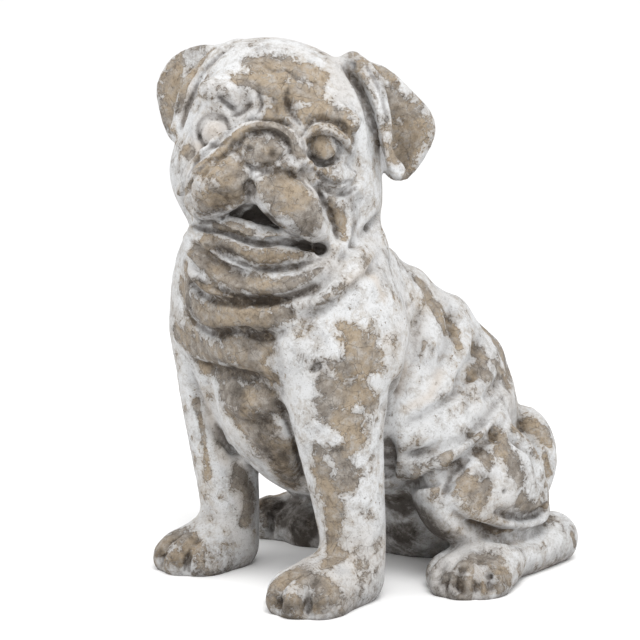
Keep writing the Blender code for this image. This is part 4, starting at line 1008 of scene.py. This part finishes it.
class Weather:
    """The wear, creases, hollows and relief of the clay, for any points on its skin."""

    def __init__(self, clay):
        self.clay = clay
        self.cloud = Cloud(SEED)
        self.creases = Hollows(clay, 1, 2)
        self.hollows = Hollows(clay, 3, 2)

    def wear(self, points):
        """Above zero where the coat is gone."""
        wear = np.maximum(strongest(self.clay, points, BARE_PATCHES),
                          strongest(self.clay, points, BARE_BEHIND, hidden=True))
        sound = np.clip(CLEAN_GAIN * strongest(self.clay, points, SOUND_COAT), 0, 1)
        (coarse, coarse_size), (fine, fine_size) = COARSE_CRUMBLE, FINE_CRUMBLE
        crumble = (coarse * self.cloud.at(points, coarse_size)
                   + fine * self.cloud.at(points + CLOUD_SHIFT, fine_size))
        return wear + crumble - SOUND_SHARE * sound

    def crease(self, points):
        """0 on open skin, 1 deep in a narrow crease, and below zero on a ridge."""
        return np.clip((self.creases.at(points) - CREASE_FLAT) * CREASE_GAIN, -1, 1)

    def hollow(self, points):
        """0 on open skin and 1 deep in a wide hollow."""
        return np.clip((self.hollows.at(points) - HOLLOW_FLAT) * HOLLOW_GAIN, -1, 1)

    def relief(self, points):
        """How far the skin stands in or out for flakes, lumps, locks and grain, in units."""
        cloud = self.cloud
        bare = np.clip(self.wear(points) * EDGE_SHARPNESS + 0.5, 0, 1)
        out = -COAT_STEP * bare
        out += bare * sum(height * cloud.at(points, size) for height, size in STONE_GRAIN)
        out += (1 - bare) * COAT_GRAIN[0] * cloud.at(points, COAT_GRAIN[1])
        for _, place, radius in LOBE_LUMPS:
            near = np.linalg.norm(points - self.clay.seen(*place), axis=1)
            lump = np.abs(cloud.at(points, LUMP_SIZE)) - LUMP_MIDDLE
            out += np.clip(LUMPS_END - near / radius, 0, 1) * LUMP_HEIGHT * lump
        locks = np.clip(strongest(self.clay, points, LOCKS), 0, 0.5) * 2
        stray, size = LOCK_WANDER
        along = points[:, 2] + LOCK_SLANT * points[:, 0] + stray * cloud.at(points, size)
        twist, size = LOCK_TWIST
        wave = np.abs(np.sin(along * math.pi / LOCK_LENGTH + twist * cloud.at(points, size)))
        out += locks * LOCK_HEIGHT * (wave - LOCK_MIDDLE)
        return out

    def scatter_pits(self, points, outward):
        """Small casting pits at random places of the skin."""
        chance = np.random.default_rng(SEED)
        moved = points.copy()
        muzzle, spared = MUZZLE
        muzzle = self.clay.seen(*muzzle)
        for centre in points[chance.choice(len(points), PITS_SCATTERED, replace=False)]:
            radius = chance.uniform(*PIT_RADII)
            if np.linalg.norm(centre - muzzle) < spared:
                continue
            box = (np.abs(points - centre) < radius).all(axis=1)
            near = np.flatnonzero(box)
            share = 1 - (np.linalg.norm(points[near] - centre, axis=1) / radius) ** 2
            moved[near] -= outward[near] * (PIT_DEPTH * radius * np.clip(share, 0, 1))[:, None]
        return moved


def ring_points(centre, radius):
    """Points on a ring on the sheet, the last one the same as the first."""
    turns = np.linspace(0, 2 * math.pi, RING_POINTS + 1)
    return [(centre[0] + radius * math.cos(t), centre[1] + radius * math.sin(t)) for t in turns]


def scored_lines():
    """Every fine line: its width and depth in units, its points, its share of the dirt and painted shade,
    and over what share of its length it fades at each end."""
    for _, width, depth, points in SCORED_LINES:
        yield width, depth, points, 1.0, 0.2
    for _, centre, radius, width, depth, share in EYE_RINGS:
        yield width, depth, ring_points(centre, radius), share, 0.01


def carve_chips(clay):
    """The chips, larger pits and scored lines of the casting."""
    for _, place, radius in CHIPS:
        clay.ball(clay.seen(*place), (radius, radius, radius), blend=0.3, carve=True)
    for width, depth, points, _, ends in scored_lines():
        clay.stroke(points, width, -depth, ends=ends)


def stains_and_shadow(clay, points):
    """1 in the painted shadow under the belly and in the mouth, up to a half on dark stains with painted
    shade among them, and below zero where rain keeps the surface clean.
    """
    # Dark stains, with painted shade among them under the chin and on the inner sides of the legs.
    dark = np.clip(STAIN_GAIN * strongest(clay, points, DARK_STAINS_AND_SHADE), 0, STAIN_MOST)
    # Painted shadow under the belly and in the mouth.
    deep_shadow = np.clip(SHADOW_GAIN * strongest(clay, points, PAINTED_SHADOWS), 0, 1)
    clean = np.clip(CLEAN_GAIN * strongest(clay, points, CLEAN_PLACES), 0, 1)
    return np.maximum(dark, deep_shadow) - CLEAN_SHARE * clean


def line_dirt_and_shade(clay, points):
    """How dirt and painted shade darken each point: 1 along the middle of each scored line and in the
    nostrils, a share of that in the creases of the body, and 0 away from them.
    """
    best = np.zeros(len(points))
    # The creases of the body get painted shade.
    shaded = [(width, line, CREASE_SHARE) for name, width, _, line in BODY_CREASES
             if name in SHADED_CREASES]
    scored = [(width, line, share) for width, _, line, share, _ in scored_lines()]
    for width, line, share in shaded + scored:
        reach = LINE_DARKENING_WIDTH * width
        path = [(*p, reach) for p in smooth_path(clay.on_skin(line, BODY), 3)]
        np.maximum(best, share * patch_strength(points, path), out=best)
    np.maximum(best, strongest(clay, points, NOSTRILS, start=0.0), out=best)
    return np.clip(best, 0, 1)


def weathered_statue(settings):
    """The whole statue as a mesh object in metres, weathered, with its wear, stains and the places of its
    painted shade and shadow as attributes.
    """
    clay = sculpt(settings.voxel / UNIT)
    weather = Weather(clay)
    carve_chips(clay)
    points, faces = largest_piece(*clay.skin())
    outward = clay.slope_at(points)
    points = weather.scatter_pits(points, outward) + outward * weather.relief(points)[:, None]
    statue = mesh_object(points, faces, NODE + "_weathered", settings.triangles)
    places = corners_of(statue.data) / UNIT
    # Attributes for the finish: the wear, the creases and hollows, which its painted shade follows, the
    # stains and painted shadow, the warm patches, and the dirt and painted shade of the scored lines.
    for name, values in (
        ("wear", weather.wear(places)),
        ("crease", weather.crease(places)),
        ("hollow", weather.hollow(places)),
        ("soot_and_shadow", stains_and_shadow(clay, places)),
        ("sand", np.clip(strongest(clay, places, WARM_STAINS), 0, 1)),
        ("line", line_dirt_and_shade(clay, places)),
    ):
        layer = statue.data.attributes.new(name, "FLOAT", "POINT")
        layer.data.foreach_set("value", values.astype(np.float32))
    statue["middle"] = stand_on_origin(statue.data)
    fit_inside(statue.data, SOLID_BOX)
    return statue


def mesh_object(points, faces, name, triangles):
    """Points and faces in units as a mesh object in metres, thinned, and cut flat at the ground."""
    mesh = bpy.data.meshes.new(name)
    mesh.from_pydata((points * UNIT).tolist(), [], faces.tolist())
    statue = bpy.data.objects.new(name, mesh)
    bpy.context.scene.collection.objects.link(statue)
    bpy.ops.object.select_all(action="DESELECT")
    statue.select_set(True)
    bpy.context.view_layer.objects.active = statue
    thin = statue.modifiers.new("thin", "DECIMATE")
    thin.ratio = min(1.0, triangles / (2 * len(faces)))
    bpy.ops.object.modifier_apply(modifier=thin.name)
    bpy.ops.object.mode_set(mode="EDIT")
    bpy.ops.mesh.select_all(action="SELECT")
    bpy.ops.mesh.bisect(plane_co=(0, 0, 0), plane_no=(0, 0, 1), use_fill=True, clear_inner=True,
                        threshold=WELD)
    bpy.ops.object.mode_set(mode="OBJECT")
    bpy.ops.object.shade_smooth()
    return statue


def corners_of(mesh):
    """The places of the mesh's points, a row for each."""
    corners = np.empty(len(mesh.vertices) * 3)
    mesh.vertices.foreach_get("co", corners)
    return corners.reshape(-1, 3)


def stand_on_origin(mesh):
    """Moves the mesh so that the middle of its outline, seen from above, is over the origin, and
    says where that middle was."""
    corners = corners_of(mesh)
    middle = (corners.min(axis=0) + corners.max(axis=0)) / 2
    mesh.transform(Matrix.Translation((-middle[0], -middle[1], 0)))
    return [float(middle[0]), float(middle[1]), 0.0]


def fit_inside(mesh, box):
    """Eases the mesh in by the hair's breadth that its finer skin stands outside the solid's box."""
    corners = corners_of(mesh)
    low, high = np.array(box[0]), np.array(box[1])
    middle = (low + high) / 2
    middle[2] = 0
    room = (high - middle) / np.maximum(np.abs(corners - middle).max(axis=0), WELD)
    corners = middle + (corners - middle) * np.minimum(room, 1)
    corners[:, 2] = np.maximum(corners[:, 2], 0)
    mesh.vertices.foreach_set("co", corners.ravel())
    mesh.update()


class Wiring:
    """Places nodes in a node tree and links them."""

    def __init__(self, tree):
        self.tree = tree

    def add(self, kind, inputs=None, **settings):
        """A new node: inputs are values, or sockets to link to, by name or number."""
        node = self.tree.nodes.new(kind)
        for key, value in settings.items():
            setattr(node, key, value)
        for key, value in (inputs or {}).items():
            if isinstance(value, bpy.types.NodeSocket):
                self.tree.links.new(value, node.inputs[key])
            else:
                node.inputs[key].default_value = value
        return node

    def give(self, made, **values):
        """Links values to the outputs of a group, by name."""
        for name, value in values.items():
            self.tree.links.new(value, made[name])

    def noise(self, place, scale, detail=3.0, roughness=0.55, distortion=0.0):
        """Cloudy values between 0 and 1."""
        values = {"Vector": place, "Scale": scale, "Detail": detail, "Roughness": roughness,
                  "Distortion": distortion}
        return self.add("ShaderNodeTexNoise", values).outputs["Fac"]

    def ramp(self, value, low, high, first=0.0, last=1.0):
        """The value eased from first at low to last at high."""
        inputs = {"Value": value, "From Min": low, "From Max": high, "To Min": first, "To Max": last}
        return self.add("ShaderNodeMapRange", inputs, interpolation_type="SMOOTHSTEP").outputs["Result"]

    def sum(self, operation, first, second):
        """Two values put together by a Math node."""
        return self.add("ShaderNodeMath", {0: first, 1: second}, operation=operation).outputs[0]

    def scaled(self, value, factor, plus=0.0):
        """The value times a factor, plus another value."""
        return self.add("ShaderNodeMath", {0: value, 1: factor, 2: plus},
                        operation="MULTIPLY_ADD").outputs[0]

    def mix(self, share, first, second, blend="MIX"):
        """Two colours mixed by a share."""
        node = self.add("ShaderNodeMix", {0: share, 6: first, 7: second}, data_type="RGBA",
                        blend_type=blend)
        return node.outputs[2]


def new_group(name, inputs, outputs):
    """An empty node group with named sockets, and what to wire it with."""
    group = bpy.data.node_groups.new(name, "ShaderNodeTree")
    for title, kind in inputs:
        group.interface.new_socket(title, in_out="INPUT", socket_type=kind)
    for title, kind in outputs:
        group.interface.new_socket(title, in_out="OUTPUT", socket_type=kind)
    wiring = Wiring(group)
    return group, wiring, wiring.add("NodeGroupInput").outputs, wiring.add("NodeGroupOutput").inputs


FLOAT, COLOUR, PLACE = "NodeSocketFloat", "NodeSocketColor", "NodeSocketVector"

# What the colours are multiplied by, where something darkens them, painted shade and shadow among it.
BLOTCH_TINT = (0.5, 0.46, 0.42, 1)
GRAIN_TINT = (0.42, 0.38, 0.35, 1)
SMEAR_TINT = (0.62, 0.6, 0.58, 1)
SPECK_TINT = (0.5, 0.47, 0.45, 1)
# For the painted shadow at the edge of a flake.
FLAKE_SHADOW_TINT = (0.45, 0.4, 0.37, 1)
CRACK_TINT = (0.3, 0.27, 0.25, 1)
# For the painted shadow under the belly and in the mouth.
DEEP_SHADOW_TINT = (0.42, 0.39, 0.36, 1)
# For the dirt and painted shade in the scored lines, and the painted shade in the creases.
LINE_DIRT_AND_SHADE_TINT = (0.24, 0.21, 0.19, 1)


def flaking_group():
    """Where the coat has flaked off, from the wear: ragged, with flecks left on both sides."""
    group, wire, given, made = new_group(
        "flaking coat",
        (("Place", PLACE), ("Wear", FLOAT), ("Crease", FLOAT), ("Raggedness", FLOAT)),
        (("Bare", FLOAT), ("Rim", FLOAT), ("Thin", FLOAT), ("Crack", FLOAT)))
    coarse = wire.scaled(wire.noise(given["Place"], 150, 6, 0.68, 0.6), 4, -2)
    fine = wire.scaled(wire.noise(given["Place"], 620, 3, 0.6), 4, -2)
    ragged = wire.scaled(coarse, given["Raggedness"], given["Wear"])
    ragged = wire.scaled(fine, 0.22, ragged)
    ragged = wire.sum("ADD", ragged, wire.ramp(given["Crease"], -0.3, -0.9, 0, 0.35))
    flecks = wire.ramp(wire.noise(given["Place"], 420, 3, 0.5), 0.65, 0.68)
    flecks = wire.sum("MULTIPLY", flecks, wire.ramp(wire.noise(given["Place"], 60, 2), 0.45, 0.6))
    bare = wire.sum("MAXIMUM", wire.ramp(ragged, -0.04, 0.04), flecks)
    scraps = wire.ramp(wire.noise(given["Place"], 330, 5, 0.7, 0.8), 0.55, 0.6)
    scraps = wire.sum("MULTIPLY", scraps, wire.ramp(given["Wear"], 1.1, 0.2))
    bare = wire.sum("MULTIPLY", bare, wire.scaled(scraps, -1.0, 1.0))
    away = wire.add("ShaderNodeMath", {0: ragged}, operation="ABSOLUTE").outputs[0]
    warp = wire.noise(given["Place"], 120, 3)
    cells = wire.add("ShaderNodeTexVoronoi", {"Vector": given["Place"], "Scale": 105},
                     feature="DISTANCE_TO_EDGE")
    edge = wire.sum("ADD", cells.outputs["Distance"], wire.scaled(warp, 0.12, -0.05))
    line = wire.ramp(edge, 0.035, 0.012)
    some = wire.sum("MULTIPLY", wire.ramp(given["Wear"], -0.9, -0.2), wire.ramp(warp, 0.42, 0.55))
    wire.give(made, Bare=bare, Rim=wire.ramp(away, 0.2, 0.04), Thin=wire.ramp(ragged, -0.85, 0.05),
              Crack=wire.sum("MULTIPLY", line, some))
    return group


def stone_group():
    """The colour of the bare cast stone."""
    group, wire, given, made = new_group(
        "cast stone colour",
        (("Place", PLACE), ("Clay", COLOUR), ("Earth", COLOUR), ("Pale", COLOUR)),
        (("Colour", COLOUR), ("Grain", FLOAT)))
    broad = wire.noise(given["Place"], 30, 5, 0.62, 0.4)
    colour = wire.mix(wire.ramp(broad, 0.4, 0.6), given["Clay"], given["Earth"])
    blotch = wire.noise(given["Place"], 150, 5, 0.65)
    colour = wire.mix(wire.ramp(blotch, 0.48, 0.66, 0, 0.8), colour, given["Pale"])
    darker = wire.ramp(blotch, 0.48, 0.32, 0, 0.7)
    colour = wire.mix(darker, colour, BLOTCH_TINT, "MULTIPLY")
    grain = wire.noise(given["Place"], 850, 3, 0.7)
    dark = wire.ramp(grain, 0.5, 0.3, 0, 0.6)
    colour = wire.mix(dark, colour, GRAIN_TINT, "MULTIPLY")
    wire.give(made, Colour=colour, Grain=grain)
    return group


def wash_group():
    """The colour of the limewash: brushed, clouded and specked."""
    group, wire, given, made = new_group(
        "limewash colour",
        (("Place", PLACE), ("Wash", COLOUR), ("Cream", COLOUR), ("Shade", COLOUR)),
        (("Colour", COLOUR), ("Brushing", FLOAT)))
    broad = wire.noise(given["Place"], 15, 4, 0.6, 0.5)
    colour = wire.mix(wire.ramp(broad, 0.44, 0.66, 0, 0.85), given["Wash"], given["Cream"])
    cloud = wire.noise(given["Place"], 60, 6, 0.66, 0.3)
    colour = wire.mix(wire.ramp(cloud, 0.48, 0.72, 0, 0.65), colour, given["Shade"])
    smear = wire.noise(given["Place"], 240, 4, 0.7)
    colour = wire.mix(wire.ramp(smear, 0.5, 0.33, 0, 0.5), colour, SMEAR_TINT, "MULTIPLY")
    specks = wire.noise(given["Place"], 1000, 2, 0.6)
    colour = wire.mix(wire.ramp(specks, 0.42, 0.3, 0, 0.7), colour, SPECK_TINT, "MULTIPLY")
    wire.give(made, Colour=colour, Brushing=cloud)
    return group


def dirt_and_shade_group():
    """How dark the surface is made: painted shade, with some dirt, in creases and hollows and on faces
    turned down, darker towards the ground, and the stains and painted shadow that it is given.
    """
    group, wire, given, made = new_group(
        "dirt_and_shade",
        (("Place", PLACE), ("Facing", PLACE), ("Crease", FLOAT), ("Hollow", FLOAT), ("Soot_and_shadow", FLOAT)),
        (("Dirt", FLOAT),))
    breakup = wire.noise(given["Place"], 190, 5, 0.68)
    # Painted shade, with some dirt, in creases and wide hollows.
    crease = wire.ramp(given["Crease"], 0.0, 1.0, 0, 0.8)
    hollow = wire.ramp(given["Hollow"], 0.1, 1.0, 0, 0.5)
    # Painted shade, with some dirt, on faces turned down.
    down = wire.add("ShaderNodeSeparateXYZ", {0: given["Facing"]}).outputs["Z"]
    under = wire.ramp(down, 0.0, -0.9, 0, 0.55)
    # Darker towards the ground.
    height = wire.add("ShaderNodeSeparateXYZ", {0: given["Place"]}).outputs["Z"]
    low = wire.ramp(height, 0.03, 0.0, 0, 0.35)
    # The stains and painted shadow.
    soot_and_shadow = wire.scaled(given["Soot_and_shadow"], 0.9)
    total = wire.sum("ADD", wire.sum("ADD", crease, hollow), wire.sum("ADD", under, low))
    total = wire.sum("ADD", total, soot_and_shadow)
    broken = wire.sum("MULTIPLY", total, wire.ramp(breakup, 0.3, 0.62, 0.4, 1.05))
    wire.give(made, Dirt=wire.sum("MINIMUM", broken, 1.0))
    return group


def statue_material(settings):
    """Cast stone under flaking limewash, with stains, dirt and painted shade and shadow."""
    material = bpy.data.materials.new("limewashed cast stone")
    material.use_nodes = True
    tree = material.node_tree
    tree.nodes.clear()
    wire = Wiring(tree)
    spot = wire.add("ShaderNodeTexCoord")
    place, facing = spot.outputs["Object"], spot.outputs["Normal"]
    layer = {name: wire.add("ShaderNodeAttribute", attribute_name=name).outputs["Fac"]
             for name in ("wear", "crease", "hollow", "soot_and_shadow", "sand", "line")}
    flaking, stone, wash, dirt_and_shade = (
        wire.add("ShaderNodeGroup", inputs, node_tree=group) for group, inputs in (
            (flaking_group(), {"Place": place, "Wear": layer["wear"], "Crease": layer["crease"],
                               "Raggedness": settings.raggedness}),
            (stone_group(), {"Place": place, "Clay": settings.clay_colour,
                             "Earth": settings.earth_colour, "Pale": settings.pale_colour}),
            (wash_group(), {"Place": place, "Wash": settings.wash_colour,
                            "Cream": settings.cream_colour, "Shade": settings.shade_colour}),
            (dirt_and_shade_group(), {"Place": place, "Facing": facing, "Crease": layer["crease"],
                             "Hollow": layer["hollow"], "Soot_and_shadow": layer["soot_and_shadow"]}),
        ))
    bare, rim, thin, crack = (flaking.outputs[n] for n in ("Bare", "Rim", "Thin", "Crack"))
    colour = wire.mix(wire.scaled(layer["sand"], 0.6), wash.outputs["Colour"], settings.sand_colour)
    colour = wire.mix(wire.scaled(thin, 0.6), colour, stone.outputs["Colour"])
    colour = wire.mix(wire.scaled(bare, 0.94), colour, stone.outputs["Colour"])
    # Painted shadow that the edge of the coat casts on the bare stone beside it.
    shadow_side = wire.sum("MULTIPLY", rim, bare)
    colour = wire.mix(wire.scaled(shadow_side, 0.55), colour, FLAKE_SHADOW_TINT, "MULTIPLY")
    colour = wire.mix(wire.scaled(crack, 0.75), colour, CRACK_TINT, "MULTIPLY")
    # Painted shade in creases, hollows and on faces turned down, darker towards the ground, with dirt and
    # the stains in it.
    colour = wire.mix(dirt_and_shade.outputs["Dirt"], colour, settings.dirt_and_shade_colour, "MULTIPLY")
    # Painted shadow, very dark, under the belly and in the hollow and corner of the mouth.
    deep_shadow = wire.ramp(layer["soot_and_shadow"], 0.5, 1.0, 0, 0.8)
    colour = wire.mix(deep_shadow, colour, DEEP_SHADOW_TINT, "MULTIPLY")
    # Dirt and painted shade in the scored lines, round the eyes and in the nostrils, and painted shade in
    # the creases of the body.
    line_dirt_and_shade_mask = wire.sum("MULTIPLY", wire.ramp(layer["line"], 0.0, 0.8),
                       wire.ramp(wire.noise(place, 260, 4, 0.6), 0.3, 0.55, 0.45, 1))
    colour = wire.mix(wire.scaled(line_dirt_and_shade_mask, 0.62), colour, LINE_DIRT_AND_SHADE_TINT, "MULTIPLY")
    height = wire.scaled(bare, -1.0, 1.0)
    height = wire.scaled(crack, -0.8, height)
    height = wire.scaled(stone.outputs["Grain"], 0.35, height)
    height = wire.scaled(wash.outputs["Brushing"], 0.5, height)
    bump = wire.add("ShaderNodeBump", {"Strength": 0.7, "Distance": settings.coat_thickness,
                                       "Height": height})
    roughness = wire.scaled(bare, 0.06, 0.84)
    shader = wire.add("ShaderNodeBsdfPrincipled", {"Base Color": colour, "Roughness": roughness,
                                                   "Normal": bump.outputs["Normal"]})
    shader.inputs["Specular IOR Level"].default_value = 0.3
    end = wire.add("ShaderNodeOutputMaterial")
    tree.links.new(shader.outputs["BSDF"], end.inputs["Surface"])
    return material


KEY_LAMP = ("key lamp", (0.75, -0.35, 1.45), 0.8)  # a place and a side in metres
FILL_LAMP = ("fill lamp", (-1.1, -1.3, 0.7), 1.0)


def aim(thing, place, target):
    """Puts a lamp or camera at a place, looking at a target."""
    thing.location = place
    thing.rotation_mode = "QUATERNION"
    thing.rotation_quaternion = (Vector(target) - Vector(place)).to_track_quat("-Z", "Y")


def soft_lamp(name, place, size, target, power):
    """A square soft box."""
    light = bpy.data.lights.new(name, "AREA")
    light.size = size
    light.energy = power
    lamp = bpy.data.objects.new(name, light)
    bpy.context.scene.collection.objects.link(lamp)
    aim(lamp, place, target)
    return lamp


def colour_property(name, description, default):
    """A colour that the panel shows."""
    return bpy.props.FloatVectorProperty(name=name, description=description, default=default, size=4,
                                         subtype="COLOR", min=0, max=1)


class StatueSettings(bpy.types.PropertyGroup):
    """Sizes and colours of the statue."""

    voxel: bpy.props.FloatProperty(
        name="Voxel", description="Side of a voxel of the clay", default=0.0017, min=0.001,
        max=0.006, precision=4, unit="LENGTH")
    triangles: bpy.props.IntProperty(
        name="Triangles", description="Faces of the finished mesh", default=190000, min=10000,
        max=198000)
    coat_thickness: bpy.props.FloatProperty(
        name="Coat thickness", description="How far the limewash stands over the stone",
        default=0.0008, min=0, max=0.003, precision=4, unit="LENGTH")
    raggedness: bpy.props.FloatProperty(
        name="Raggedness", description="How far flakes stray from the edge of a worn patch",
        default=0.8, min=0, max=2, subtype="FACTOR")
    wash_colour: colour_property("Limewash", "Clean limewash", (0.53, 0.535, 0.54, 1))
    cream_colour: colour_property("Cream", "Limewash yellowed by weather", (0.45, 0.435, 0.42, 1))
    shade_colour: colour_property("Shade", "Thin grey limewash", (0.31, 0.31, 0.312, 1))
    clay_colour: colour_property("Clay", "Bare ochre stone", (0.29, 0.234, 0.168, 1))
    earth_colour: colour_property("Earth", "Weathered grey-brown stone", (0.185, 0.162, 0.138, 1))
    pale_colour: colour_property("Pale stone", "Dusty stone", (0.33, 0.305, 0.275, 1))
    sand_colour: colour_property("Sand", "Warm sandy wash", (0.46, 0.4, 0.34, 1))
    # Multiplies the surface where painted shade lies in creases, hollows, on faces turned down and towards
    # the ground, and on the stains and painted shadow.
    dirt_and_shade_colour: colour_property("Dirt and shade", "Soot and earth in the hollows", (0.27, 0.245, 0.225, 1))


class StageSettings(bpy.types.PropertyGroup):
    """Floor, lamps and camera."""

    floor_size: bpy.props.FloatProperty(
        name="Floor", description="Side of the floor", default=80.0, min=2, unit="LENGTH")
    floor_colour: colour_property("Floor colour", "Paint of the floor", (0.93, 0.93, 0.93, 1))
    sky: bpy.props.FloatProperty(
        name="Sky", description="Strength of the even light all round", default=1.1, min=0)
    key_power: bpy.props.FloatProperty(
        name="Key lamp", description="Power of the large lamp overhead", default=16.0, min=0,
        unit="POWER")
    fill_power: bpy.props.FloatProperty(
        name="Fill lamp", description="Power of the lamp at the left", default=5.0, min=0,
        unit="POWER")
    lens: bpy.props.FloatProperty(
        name="Lens", description="Focal length of the camera", min=10,
        default=SENSOR * SHEET_AWAY / SHEET, unit="CAMERA")


class SculptStatue(bpy.types.Operator):
    """Sculpts and weathers the statue, and gives it its finish"""

    bl_idname = "stone_pug.sculpt_statue"
    bl_label = "Sculpt the pug"
    bl_options = {"REGISTER", "UNDO"}

    def execute(self, context):
        settings = context.scene.stone_pug_statue
        statue = weathered_statue(settings)
        statue.data.materials.append(statue_material(settings))
        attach(statue, "root")
        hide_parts(NODE)
        return {"FINISHED"}


class SetStage(bpy.types.Operator):
    """Adds the pale floor, the soft lamps and the camera"""

    bl_idname = "stone_pug.set_stage"
    bl_label = "Set the stage"
    bl_options = {"REGISTER", "UNDO"}

    def execute(self, context):
        settings = context.scene.stone_pug_stage
        statue = bpy.data.objects.get(NODE + "_weathered")
        if statue is None:
            raise RuntimeError("sculpt the pug first: the camera is set by where it stands")
        middle = Vector(statue["middle"])
        bpy.ops.object.select_all(action="DESELECT")
        bpy.ops.mesh.primitive_plane_add(size=settings.floor_size, location=(0, 0, 0))
        floor = context.object
        floor.name = "floor"
        floor.data.materials.append(floor_material(settings))
        world = bpy.data.worlds.new("studio")
        world.use_nodes = True
        backdrop = world.node_tree.nodes["Background"]
        backdrop.inputs["Color"].default_value = (1, 1, 1, 1)
        backdrop.inputs["Strength"].default_value = settings.sky
        context.scene.world = world
        target = (0, 0, STATUE_HEIGHT / 2)
        soft_lamp(*KEY_LAMP, target, settings.key_power)
        soft_lamp(*FILL_LAMP, target, settings.fill_power)
        lens = bpy.data.cameras.new("camera")
        lens.sensor_width = SENSOR
        lens.lens = settings.lens
        lens.clip_start = 0.01
        lens.clip_end = 200
        camera = bpy.data.objects.new("camera", lens)
        context.scene.collection.objects.link(camera)
        eye = Vector(EYE) * UNIT - middle
        along = SIGHT.to_3x3() @ Vector((0, 1, 0))
        aim(camera, eye, eye + along)
        context.scene.camera = camera
        context.scene.view_settings.view_transform = "Standard"
        return {"FINISHED"}


def floor_material(settings):
    """Pale matt paint with a faint unevenness."""
    material = bpy.data.materials.new("pale floor")
    material.use_nodes = True
    wire = Wiring(material.node_tree)
    shader = material.node_tree.nodes["Principled BSDF"]
    place = wire.add("ShaderNodeTexCoord").outputs["Object"]
    cloud = wire.noise(place, 3.0, 3)
    shade = tuple(0.98 * c for c in settings.floor_colour[:3]) + (1,)
    colour = wire.mix(wire.ramp(cloud, 0.3, 0.7), settings.floor_colour, shade)
    material.node_tree.links.new(colour, shader.inputs["Base Color"])
    shader.inputs["Roughness"].default_value = 0.8
    shader.inputs["Specular IOR Level"].default_value = 0.1
    return material


class StonePugPanel(bpy.types.Panel):
    """The statue and its stage"""

    bl_idname = "VIEW3D_PT_stone_pug"
    bl_label = "Limewashed stone pug"
    bl_space_type = "VIEW_3D"
    bl_region_type = "UI"
    bl_category = "Stone pug"

    def draw(self, context):
        for settings, operator in (
            (context.scene.stone_pug_statue, SculptStatue),
            (context.scene.stone_pug_stage, SetStage),
        ):
            box = self.layout.box()
            for name in settings.__annotations__:
                box.prop(settings, name)
            box.operator(operator.bl_idname)


CLASSES = (StatueSettings, StageSettings, SculptStatue, SetStage, StonePugPanel)


def register():
    """Adds the settings, the operators and the panel"""
    for piece in CLASSES:
        bpy.utils.register_class(piece)
    bpy.types.Scene.stone_pug_statue = bpy.props.PointerProperty(type=StatueSettings)
    bpy.types.Scene.stone_pug_stage = bpy.props.PointerProperty(type=StageSettings)


def unregister():
    """Takes them away again"""
    del bpy.types.Scene.stone_pug_stage
    del bpy.types.Scene.stone_pug_statue
    for piece in reversed(CLASSES):
        bpy.utils.unregister_class(piece)


def main():
    """Makes the statue and its stage"""
    register()
    bpy.ops.stone_pug.sculpt_statue()
    bpy.ops.stone_pug.set_stage()


if __name__ == "__main__":
    main()
